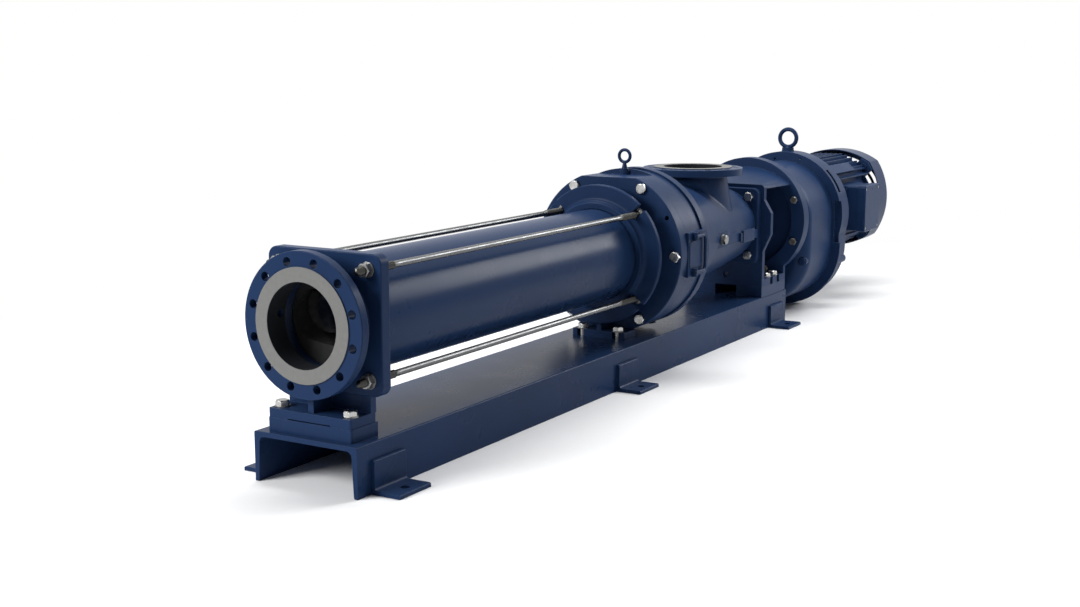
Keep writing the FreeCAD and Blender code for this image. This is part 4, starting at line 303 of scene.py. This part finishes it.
    def surface(self, colour: object, roughness: object, metallic: object, normal: object,
                specular: float = 0.5, coat: float = 0.0, coat_roughness: float = 0.1) -> bpy.types.Material:
        """Finish the material with one principled shader.

        Args:
            colour: Base colour or link.
            roughness: Roughness or link.
            metallic: Metalness or link.
            normal: Normal link.
            specular: Specular level.
            coat: Weight of the clear coat.
            coat_roughness: Roughness of the clear coat.

        Returns:
            The material.
        """
        shader = self.add("ShaderNodeBsdfPrincipled")
        self.join(colour if isinstance(colour, bpy.types.NodeSocket) else (*colour, 1.0),
                  shader.inputs["Base Color"])
        self.join(roughness, shader.inputs["Roughness"])
        self.join(metallic, shader.inputs["Metallic"])
        self.join(normal, shader.inputs["Normal"])
        shader.inputs["Specular IOR Level"].default_value = specular
        shader.inputs["Coat Weight"].default_value = coat
        shader.inputs["Coat Roughness"].default_value = coat_roughness
        self.join(shader.outputs[0], self.output.inputs["Surface"])
        return self.material


@dataclass(frozen=True)
class PaintFinish:
    """Semi-gloss paint, on a rough casting or on smooth steel, with bare zones and zones of painted shade."""

    name: str
    colour: Colour = (0.0130, 0.0320, 0.0880)
    # Colour of the painted highlight on the edges
    light: Colour = (0.0360, 0.0620, 0.1250)
    dust: Colour = (0.0400, 0.0560, 0.0950)
    roughness: float = 0.36
    patchiness: float = 0.05
    specular: float = 0.05
    grain: float = 0.00025
    grain_scale: float = 14.0
    grain_detail: float = 0.0
    edge_radius: float = 0.0022
    coat: float = 0.02
    deep_share: float = 0.80
    cloud_scale: float = 2.4
    dust_scale: float = 60.0
    dust_share: float = 0.10
    dust_slope: float = 0.55
    edge_highlight_scale: float = 35.0
    gloss_scale: float = 9.0
    scratch_scale: float = 90.0
    zones: tuple[Zone, ...] = ()

    def build(self) -> bpy.types.Material:
        """Paint with patches of tone, dust on top, a painted highlight on the edges and a fine skin.

        Returns:
            The material.
        """
        g = Graph(self.name)
        rounded, near_edge = g.edge(self.edge_radius)
        cloud = g.patches(self.cloud_scale, 0.0, 1.0, detail=4.0)
        fleck = g.patches(self.dust_scale, 0.0, 1.0, detail=4.0, roughness=0.6, window=(0.45, 0.75))
        deep = tuple(self.deep_share * c for c in self.colour)
        colour = g.mix(cloud, deep, self.colour)
        split = g.add("ShaderNodeSeparateXYZ")
        g.join(g.add("ShaderNodeNewGeometry").outputs["Normal"], split.inputs[0])
        upward = g.spread(split.outputs[2], self.dust_slope, 1.0, 0.0, self.dust_share)
        colour = g.mix(g.math("MULTIPLY", upward, fleck), colour, self.dust)
        # Painted highlight: the edges turn lighter, by a share that changes in patches
        painted_edge_highlight = g.math("MULTIPLY", near_edge, g.patches(self.edge_highlight_scale, 0.25, 0.75, window=(0.35, 0.65)))
        colour = g.mix(painted_edge_highlight, colour, self.light)
        roughness = g.patches(self.gloss_scale, self.roughness - self.patchiness,
                              self.roughness + self.patchiness)
        height = g.noise(self.grain_scale, self.grain_detail)
        # Each zone sets its own colour: bare metal on the faces, a painted shade in the bores
        for zone in self.zones:
            mask = g.inside(zone)
            shaded = tuple(self.deep_share * c for c in zone.colour)
            scratched = g.mix(g.noise(self.scratch_scale, detail=4.0), shaded, zone.colour)
            colour = g.mix(mask, colour, scratched)
            roughness = g.math("ADD", roughness, g.math("MULTIPLY", mask, zone.roughness))
        normal = g.bump(height, self.grain, strength=0.6, normal=rounded)
        return g.surface(colour, roughness, 0.0, normal, specular=self.specular, coat=self.coat,
                         coat_roughness=0.18)


@dataclass(frozen=True)
class MetalFinish:
    """Bare metal with machining lines or a drawn grain and faint stains."""

    name: str
    colour: Colour = (0.56, 0.56, 0.55)
    stain: Colour = (0.30, 0.29, 0.28)
    roughness: float = 0.28
    grain_axis: Axis = Axis.X
    grain: float = 0.00004
    stain_share: float = 0.35
    edge_radius: float = 0.0008
    grain_scale: float = 400.0
    grain_stretch: float = 0.02
    stain_scale: float = 22.0
    gloss_scale: float = 40.0
    polish: float = 0.07
    wear: float = 0.09
    bright_length: tuple[float, float] | None = None
    thread: Colour = (0.05, 0.05, 0.048)

    def build(self) -> bpy.types.Material:
        """Metal whose grain is noise stretched along one axis, darker on threads.

        Returns:
            The material.
        """
        g = Graph(self.name)
        rounded = g.edge(self.edge_radius)[0] if self.edge_radius else None
        stretch = [1.0, 1.0, 1.0]
        stretch[self.grain_axis.value] = self.grain_stretch
        lines = g.noise(self.grain_scale, detail=1.0, stretch=tuple(stretch))
        stains = g.patches(self.stain_scale, 0.0, self.stain_share, detail=2.0, roughness=0.65,
                           window=(0.5, 0.75))
        colour = g.mix(stains, self.colour, self.stain)
        if self.bright_length is not None:
            split = g.add("ShaderNodeSeparateXYZ")
            g.join(g.coordinates, split.inputs[0])
            after = g.math("GREATER_THAN", split.outputs[0], self.bright_length[0])
            before = g.math("LESS_THAN", split.outputs[0], self.bright_length[1])
            colour = g.mix(g.math("MULTIPLY", after, before), self.thread, colour)
        roughness = g.patches(self.gloss_scale, self.roughness - self.polish, self.roughness + self.wear,
                              detail=1.0)
        normal = g.bump(lines, self.grain, strength=0.5, normal=rounded)
        return g.surface(colour, roughness, 1.0, normal)


@dataclass(frozen=True)
class MattFinish:
    """Rubber, plastic or ceramic: no metal, with a fine skin."""

    name: str
    colour: Colour
    roughness: float = 0.7
    grain: float = 0.0002
    grain_scale: float = 420.0
    patch_scale: float = 30.0
    gloss_scale: float = 55.0
    patchiness: float = 0.08
    pale_gain: float = 1.35
    pale_lift: float = 0.004

    def build(self) -> bpy.types.Material:
        """Dull surface with a moulded skin and slight patches.

        Returns:
            The material.
        """
        g = Graph(self.name)
        pale = tuple(min(1.0, self.pale_gain * c + self.pale_lift) for c in self.colour)
        patch = g.patches(self.patch_scale, 0.0, 1.0, detail=4.0, window=(0.35, 0.7))
        colour = g.mix(patch, self.colour, pale)
        roughness = g.patches(self.gloss_scale, self.roughness - self.patchiness,
                              self.roughness + self.patchiness)
        skin = g.bump(g.noise(self.grain_scale, detail=2.0), self.grain, strength=0.6)
        return g.surface(colour, roughness, 0.0, skin, specular=0.35)


@dataclass(frozen=True)
class StackFinish:
    """Sheets or wires side by side: a wave along one axis over a metal."""

    name: str
    colour: Colour
    gap: Colour
    pitch: float
    axis: Axis = Axis.X
    roughness: float = 0.45
    metallic: float = 0.8
    wobble_scale: float = 120.0
    wobble_depth: float = 2.0
    gap_window: tuple[float, float] = (0.1, 0.5)
    relief_share: float = 0.3

    def build(self) -> bpy.types.Material:
        """Bands as wide as the pitch, dark in the gaps.

        Returns:
            The material.
        """
        g = Graph(self.name)
        split = g.add("ShaderNodeSeparateXYZ")
        g.join(g.coordinates, split.inputs[0])
        turn = g.math("MULTIPLY", split.outputs[self.axis.value], 2.0 * math.pi / self.pitch)
        wobble = g.math("MULTIPLY", g.noise(self.wobble_scale, detail=2.0), self.wobble_depth)
        wave = g.spread(g.math("SINE", g.math("ADD", turn, wobble)), -1.0, 1.0, 0.0, 1.0)
        colour = g.mix(g.spread(wave, *self.gap_window, 0.0, 1.0), self.gap, self.colour)
        relief = g.bump(wave, self.pitch * self.relief_share, strength=0.7)
        return g.surface(colour, self.roughness, self.metallic, relief)


class Finishes:
    """All the finishes of the pump, each built once."""

    def __init__(self) -> None:
        """Build every material."""
        outlet = (FRONT_FACE, 0.0, AXIS_HEIGHT)
        inlet = (SUCTION_X, 0.0, SUCTION_FACE)
        port = Zone(Axis.X, -OUTSIDE, FACE_SKIN, FACE_RADIUS, outlet)
        # Inside the bores the colour is a near-black painted shade
        port_bore_shade = Zone(Axis.X, BORE_START, PORT_DEPTH, PORT_RADIUS, outlet, colour=BORE_PAINTED_SHADE)
        top = Zone(Axis.Z, -FACE_SKIN, OUTSIDE, FACE_RADIUS, inlet)
        top_bore_shade = Zone(Axis.Z, -INLET_DEPTH, -BORE_START, INLET_RADIUS, inlet, colour=BORE_PAINTED_SHADE)
        self.cast = PaintFinish("navy_on_casting", grain=0.00030, grain_scale=90.0, grain_detail=1.0,
                                edge_radius=0.003).build()
        self.smooth = PaintFinish("navy_on_steel", roughness=0.28, patchiness=0.015, grain=0.00020,
                                  edge_radius=0.0014).build()
        self.discharge = PaintFinish("navy_with_bare_port", grain=0.00025, grain_scale=90.0,
                                     edge_radius=0.0025, zones=(port, port_bore_shade)).build()
        self.suction = PaintFinish("navy_with_bare_inlet", grain=0.00030, grain_scale=90.0, grain_detail=1.0,
                                   edge_radius=0.003, zones=(top, top_bore_shade)).build()
        self.bolt = MetalFinish("stainless_bolt", colour=(0.42, 0.42, 0.41), stain=(0.20, 0.19, 0.18),
                                roughness=0.27).build()
        self.nut = MetalFinish("zinc_nut", colour=(0.24, 0.24, 0.235), stain=(0.12, 0.115, 0.11),
                               roughness=0.34, stain_share=0.5).build()
        self.dull_bolt = MetalFinish("dull_bolt", colour=(0.22, 0.21, 0.19), stain=(0.10, 0.09, 0.08),
                                     roughness=0.42, stain_share=0.7).build()
        self.rod = MetalFinish("drawn_rod", colour=(0.11, 0.113, 0.115), stain=(0.08, 0.08, 0.08),
                               roughness=0.30, grain=0.000002, edge_radius=0.0,
                               bright_length=(ROD_SHANK_START, ROD_SHANK_END)).build()
        self.turned = MetalFinish("turned_steel", colour=(0.46, 0.46, 0.46), roughness=0.32).build()
        self.chrome = MetalFinish("chromed_rotor", colour=(0.30, 0.305, 0.32), roughness=0.16,
                                  stain_share=0.1, grain=0.00001).build()
        self.gear = MetalFinish("ground_gear_steel", colour=(0.30, 0.30, 0.31), roughness=0.35,
                                stain=(0.14, 0.12, 0.09), stain_share=0.5).build()
        self.rubber = MattFinish("black_rubber", (0.008, 0.008, 0.009)).build()
        self.ceramic = MattFinish("seal_ceramic", (0.030, 0.030, 0.034), roughness=0.3, grain=0.00002).build()
        self.plastic = MattFinish("fan_plastic", (0.020, 0.021, 0.024), roughness=0.5).build()
        self.sheets = StackFinish("stacked_sheets", (0.24, 0.24, 0.25), (0.05, 0.05, 0.05), 0.0015).build()
        self.wires = StackFinish("copper_wires", (0.55, 0.22, 0.09), (0.10, 0.03, 0.015), 0.0022,
                                 axis=Axis.Z, roughness=0.38).build()


def grid_faces(rows: int, columns: int, around: bool = True) -> Array:
    """Quads of a grid of points kept row by row.

    Args:
        rows: Number of rows of points.
        columns: Number of points in a row.
        around: True where the last column meets the first.

    Returns:
        One row of four point numbers to a quad.
    """
    i, j = np.meshgrid(np.arange(rows - 1), np.arange(columns if around else columns - 1), indexing="ij")
    k = (j + 1) % columns
    return np.stack([i * columns + j, i * columns + k, (i + 1) * columns + k, (i + 1) * columns + j],
                    axis=-1).reshape(-1, 4)


def make_piece(name: str, points: Array, faces: Array | list, material: bpy.types.Material,
               smooth: bool = True) -> bpy.types.Object:
    """Mesh object at the origin.

    Args:
        name: Name of the piece.
        points: Points in metres, in the model's frame.
        faces: Point numbers of every face.
        material: Finish of the piece.
        smooth: True for soft shading.

    Returns:
        The object.
    """
    mesh = bpy.data.meshes.new(name)
    mesh.from_pydata(points.tolist(), [], [list(map(int, f)) for f in faces])
    mesh.polygons.foreach_set("use_smooth", np.full(len(mesh.polygons), smooth))
    mesh.materials.append(material)
    mesh.update()
    piece = bpy.data.objects.new(name, mesh)
    bpy.context.scene.collection.objects.link(piece)
    return piece


@dataclass
class SubAssembly:
    """Group of nodes that belong together on the pump."""

    nodes: dict[str, bpy.types.Object]
    finishes: Finishes

    def dress(self, material: bpy.types.Material, *names: str) -> None:
        """Give CAD nodes a finish.

        Args:
            material: The finish.
            names: Names of the nodes.
        """
        for name in names:
            mesh = self.nodes[name].data
            mesh.materials.clear()
            mesh.materials.append(material)
            LOG.info("%s has the finish %s", name, material.name)


@dataclass
class BaseFrame(SubAssembly):
    """Channel, feet and spacers."""

    def build(self) -> None:
        """Dress the steel of the base."""
        self.dress(self.finishes.smooth, "base_channel", "anchor_feet", "pedestal_spacer", "lantern_spacers")


@dataclass
class PumpEnd(SubAssembly):
    """Discharge branch, stator, casing cover and tie rods."""

    rod_offset: float = 0.127
    rod_start: float = -1.247
    rod_end: float = 0.130
    thread_length: float = 0.130
    thread_radius: float = 0.010
    shank_radius: float = 0.008
    pitch: float = 0.0025
    thread_depth: float = 0.0012
    run_out: float = 0.003
    chamfer: float = 0.002
    tip_share: float = 0.14
    samples: int = 6
    shank_stations: int = 40
    around: int = 20

    def build(self) -> None:
        """Dress the castings and put threads on the tie rods."""
        self.dress(self.finishes.discharge, "discharge_branch")
        self.dress(self.finishes.smooth, "stator_tube")
        self.dress(self.finishes.cast, "casing_cover")
        self.dress(self.finishes.rubber, "stator_lining", "stator_seals", "cover_seal")
        self.dress(self.finishes.bolt, "short_hex_bolts", "long_hex_bolts", "cover_bolts")
        self.dress(self.finishes.nut, "port_plugs", "large_washers", "tie_rod_nuts")
        self.threaded_rods()

    def profile(self) -> tuple[Array, Array]:
        """Stations along a rod, and which of them lie on a thread.

        Returns:
            The x of every station, and True where it lies on a thread.
        """
        step = self.pitch / self.samples
        front = np.arange(self.rod_start, self.rod_start + self.thread_length, step)
        rear = np.arange(self.rod_end - self.thread_length, self.rod_end + step / 2, step)
        middle = np.linspace(front[-1] + self.run_out, rear[0] - self.run_out, self.shank_stations)
        x = np.concatenate([front, middle, rear])
        on_thread = np.repeat([True, False, True], [len(front), len(middle), len(rear)])
        return x, on_thread

    def threaded_rods(self) -> None:
        """Four rods as one piece.

        On the threads the radius is the outer radius less the thread's depth times a
        triangle wave of x over the pitch plus the angle over a full turn, which makes the
        ridge a helix. The shank between has one radius. A flat face closes each end, where
        the radius falls along the chamfer.
        """
        x, on_thread = self.profile()
        angle = np.linspace(0.0, 2.0 * np.pi, self.around, endpoint=False)
        phase = (x[:, None] / self.pitch + angle[None, :] / (2.0 * np.pi)) % 1.0
        depth = self.thread_depth * np.abs(2.0 * phase - 1.0)
        from_end = np.minimum(x - self.rod_start, self.rod_end - x)
        lead = np.clip(from_end / self.chamfer, 0.0, 1.0)[:, None]
        threaded = (self.thread_radius - depth) * (1.0 - self.tip_share + self.tip_share * lead)
        radius = np.where(on_thread[:, None], threaded, self.shank_radius)
        points, faces = [], []
        for side_y in (-1.0, 1.0):
            for side_z in (-1.0, 1.0):
                y = side_y * self.rod_offset + radius * np.cos(angle)
                z = AXIS_HEIGHT + side_z * self.rod_offset + radius * np.sin(angle)
                body = np.stack([np.broadcast_to(x[:, None], y.shape), y, z], axis=-1).reshape(-1, 3)
                start = sum(len(p) for p in points)
                quads = grid_faces(len(x), self.around)[:, ::-1] + start
                last = start + len(body) - self.around
                ends = [list(range(start, start + self.around)), list(range(last, last + self.around))[::-1]]
                points.append(body)
                faces += quads.tolist() + ends
        rods = make_piece("threaded_tie_rods", np.concatenate(points), faces, self.finishes.rod)
        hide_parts("tie_rods")
        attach(rods, "frame")
        LOG.info("threads on the tie rods, %d faces", len(rods.data.polygons))


@dataclass
class Casings(SubAssembly):
    """Access drum, suction casing, lantern and the handles."""

    def build(self) -> None:
        """Dress the castings between the stator and the gearbox."""
        self.dress(self.finishes.cast, "access_drum", "lantern", "drain_plugs", "seal_housing")
        self.dress(self.finishes.suction, "suction_casing")
        self.dress(self.finishes.smooth, "near_pull_handle", "far_pull_handle", "handle_pins",
                   "cover_eye_bolt")


@dataclass
class DriveLine(SubAssembly):
    """Rotor, coupling rod, drive shaft and seal."""

    def build(self) -> None:
        """Dress the turning pieces and the seal."""
        self.dress(self.finishes.chrome, "rotor")
        self.dress(self.finishes.turned, "drive_shaft", "shaft_pin", "coupling_rod", "joint_pins",
                   "output_shaft")
        self.dress(self.finishes.rubber, "rotor_joint_boot", "shaft_joint_boot", "seal_bellows",
                   "output_oil_seal")
        self.dress(self.finishes.ceramic, "seal_stationary_ring", "seal_rotating_ring")


@dataclass
class Gearbox(SubAssembly):
    """Housings, gears, shafts and screws of the gearbox."""

    def build(self) -> None:
        """Dress the gearbox."""
        self.dress(self.finishes.cast, "gearbox_front_housing", "gearbox_rear_housing")
        self.dress(self.finishes.smooth, "gearbox_eye_bolt")
        self.dress(self.finishes.dull_bolt, "gearbox_flange_bolts", "gearbox_screws")
        self.dress(self.finishes.gear, "output_gear", "lay_shaft", "lay_gear", "input_pinion")
        self.dress(self.finishes.turned, "gearbox_bearings")


@dataclass
class Motor(SubAssembly):
    """Motor with its terminal box, fan and cowl."""

    def build(self) -> None:
        """Dress the motor."""
        self.dress(self.finishes.cast, "motor_frame", "motor_end_shield")
        self.dress(self.finishes.smooth, "terminal_box", "terminal_box_lid", "fan_cowl")
        self.dress(self.finishes.bolt, "terminal_box_screws")
        self.dress(self.finishes.turned, "motor_shaft", "motor_bearings")
        self.dress(self.finishes.sheets, "stator_core", "motor_rotor_core")
        self.dress(self.finishes.wires, "motor_windings")
        self.dress(self.finishes.plastic, "motor_fan")


@dataclass
class SoftBox:
    """Area lamp that points at a place."""

    name: str
    place: tuple[float, float, float]
    aim: tuple[float, float, float]
    width: float
    height: float
    power: float

    def build(self) -> None:
        """Add the lamp to the scene."""
        lamp = bpy.data.lights.new(self.name, "AREA")
        lamp.shape = "RECTANGLE"
        lamp.size = self.width
        lamp.size_y = self.height
        lamp.energy = self.power
        holder = bpy.data.objects.new(self.name, lamp)
        bpy.context.scene.collection.objects.link(holder)
        holder.location = self.place
        aim = np.array(self.aim) - np.array(self.place)
        yaw = math.atan2(aim[1], aim[0])
        pitch = math.atan2(aim[2], math.hypot(aim[0], aim[1]))
        holder.rotation_euler = (pitch + math.pi / 2, 0.0, yaw - math.pi / 2)


@dataclass
class Studio:
    """Floor, world, lamps and camera."""

    camera_place: tuple[float, float, float] = (-3.722105, -2.078954, 0.975097)
    camera_yaw: float = 30.8988
    camera_pitch: float = -9.770
    focal_pixels: float = 1435.74
    image_width: float = 1080.0
    sensor: float = 36.0
    clip_end: float = 100.0
    floor_half: float = 30.0
    fade_start: float = 1.3
    fade_end: float = 2.4
    fade_length: float = 0.6
    floor_tones: tuple[float, float] = (0.90, 0.93)
    floor_drop: float = 0.0005
    floor_scale: float = 40.0
    floor_lines: int = 13
    fill: Colour = (0.17, 0.175, 0.19)
    backdrop: Colour = (1.0, 1.0, 1.0)
    soft_boxes: list[SoftBox] = field(default_factory=lambda: [
        SoftBox("soft_box_above", (0.6, 0.3, 4.2), (0.1, 0.0, 0.4), 5.5, 1.1, 210.0),
        SoftBox("soft_box_front", (-4.2, 1.9, 2.3), (-1.0, 0.0, 0.35), 2.0, 1.8, 190.0),
        SoftBox("soft_box_behind", (3.7, -2.3, 2.3), (0.0, -0.1, 0.42), 1.7, 1.9, 110.0),
    ])

    def build(self) -> None:
        """Set up everything that isn't the pump."""
        self.world()
        self.floor()
        for lamp in self.soft_boxes:
            lamp.build()
        self.camera()
        bpy.context.scene.view_settings.view_transform = "Standard"

    def seen_rays(self, tree: bpy.types.NodeTree) -> bpy.types.NodeSocket:
        """Value that is 1 for rays of the camera, of gloss and through glass, and 0 for soft light.

        Args:
            tree: Node tree to add to.

        Returns:
            The value.
        """
        path = tree.nodes.new("ShaderNodeLightPath")
        total = path.outputs["Is Camera Ray"]
        for name in ("Is Glossy Ray", "Is Transmission Ray"):
            node = tree.nodes.new("ShaderNodeMath")
            node.operation = "MAXIMUM"
            tree.links.new(total, node.inputs[0])
            tree.links.new(path.outputs[name], node.inputs[1])
            total = node.outputs[0]
        return total

    def world(self) -> None:
        """White where it is seen, and a dim even light elsewhere."""
        world = bpy.data.worlds.new("studio")
        bpy.context.scene.world = world
        world.use_nodes = True
        tree = world.node_tree
        tree.nodes.clear()
        output = tree.nodes.new("ShaderNodeOutputWorld")
        background = tree.nodes.new("ShaderNodeBackground")
        mix = tree.nodes.new("ShaderNodeMix")
        mix.data_type = "RGBA"
        tree.links.new(self.seen_rays(tree), mix.inputs[0])
        mix.inputs[MIX_FIRST].default_value = (*self.fill, 1.0)
        mix.inputs[MIX_SECOND].default_value = (*self.backdrop, 1.0)
        tree.links.new(mix.outputs[MIX_RESULT], background.inputs["Color"])
        tree.links.new(background.outputs[0], output.inputs["Surface"])

    def floor(self) -> None:
        """Pale floor that turns into the white of the background far away.

        The share of white rises with the distance from the pump's middle, and more
        slowly along the pump than across it.
        """
        g = Graph("pale_floor")
        stretch = g.add("ShaderNodeVectorMath", operation="MULTIPLY")
        g.join(g.coordinates, stretch.inputs[0])
        stretch.inputs[1].default_value = (self.fade_length, 1.0, 1.0)
        flat = g.add("ShaderNodeVectorMath", operation="LENGTH")
        g.join(stretch.outputs[0], flat.inputs[0])
        share = g.spread(flat.outputs["Value"], self.fade_start, self.fade_end, 0.0, 1.0)
        diffuse = g.add("ShaderNodeBsdfDiffuse")
        darker, lighter = ((tone, tone, tone) for tone in self.floor_tones)
        g.join(g.mix(g.noise(self.floor_scale), darker, lighter), diffuse.inputs["Color"])
        glow = g.add("ShaderNodeEmission")
        g.join(self.seen_rays(g.tree), glow.inputs["Strength"])
        mix = g.add("ShaderNodeMixShader")
        g.join(share, mix.inputs[0])
        g.join(diffuse.outputs[0], mix.inputs[1])
        g.join(glow.outputs[0], mix.inputs[2])
        g.join(mix.outputs[0], g.output.inputs["Surface"])
        half = self.floor_half
        line = np.linspace(-half, half, self.floor_lines)
        x, y = np.meshgrid(line, line, indexing="ij")
        points = np.stack([x, y, np.full_like(x, -self.floor_drop)], axis=-1).reshape(-1, 3)
        faces = grid_faces(self.floor_lines, self.floor_lines, around=False)
        floor = make_piece("floor", points, faces, g.material, smooth=False)

    def camera(self) -> None:
        """Camera where the photograph was taken from."""
        lens = bpy.data.cameras.new("camera")
        lens.sensor_width = self.sensor
        lens.lens = self.sensor * self.focal_pixels / self.image_width
        lens.clip_end = self.clip_end
        holder = bpy.data.objects.new("camera", lens)
        bpy.context.scene.collection.objects.link(holder)
        holder.location = self.camera_place
        holder.rotation_euler = (math.radians(90.0 + self.camera_pitch), 0.0,
                                 math.radians(self.camera_yaw - 90.0))
        bpy.context.scene.camera = holder


def main() -> None:
    """Load the frame, build each sub-assembly in order and set up the studio."""
    logging.basicConfig(level=logging.INFO, format="%(message)s")
    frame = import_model()
    finishes = Finishes()
    for kind in (BaseFrame, PumpEnd, Casings, DriveLine, Gearbox, Motor):
        kind(frame["nodes"], finishes).build()
        LOG.info("%s is dressed", kind.__name__)
    Studio().build()


if __name__ == "__main__":
    main()
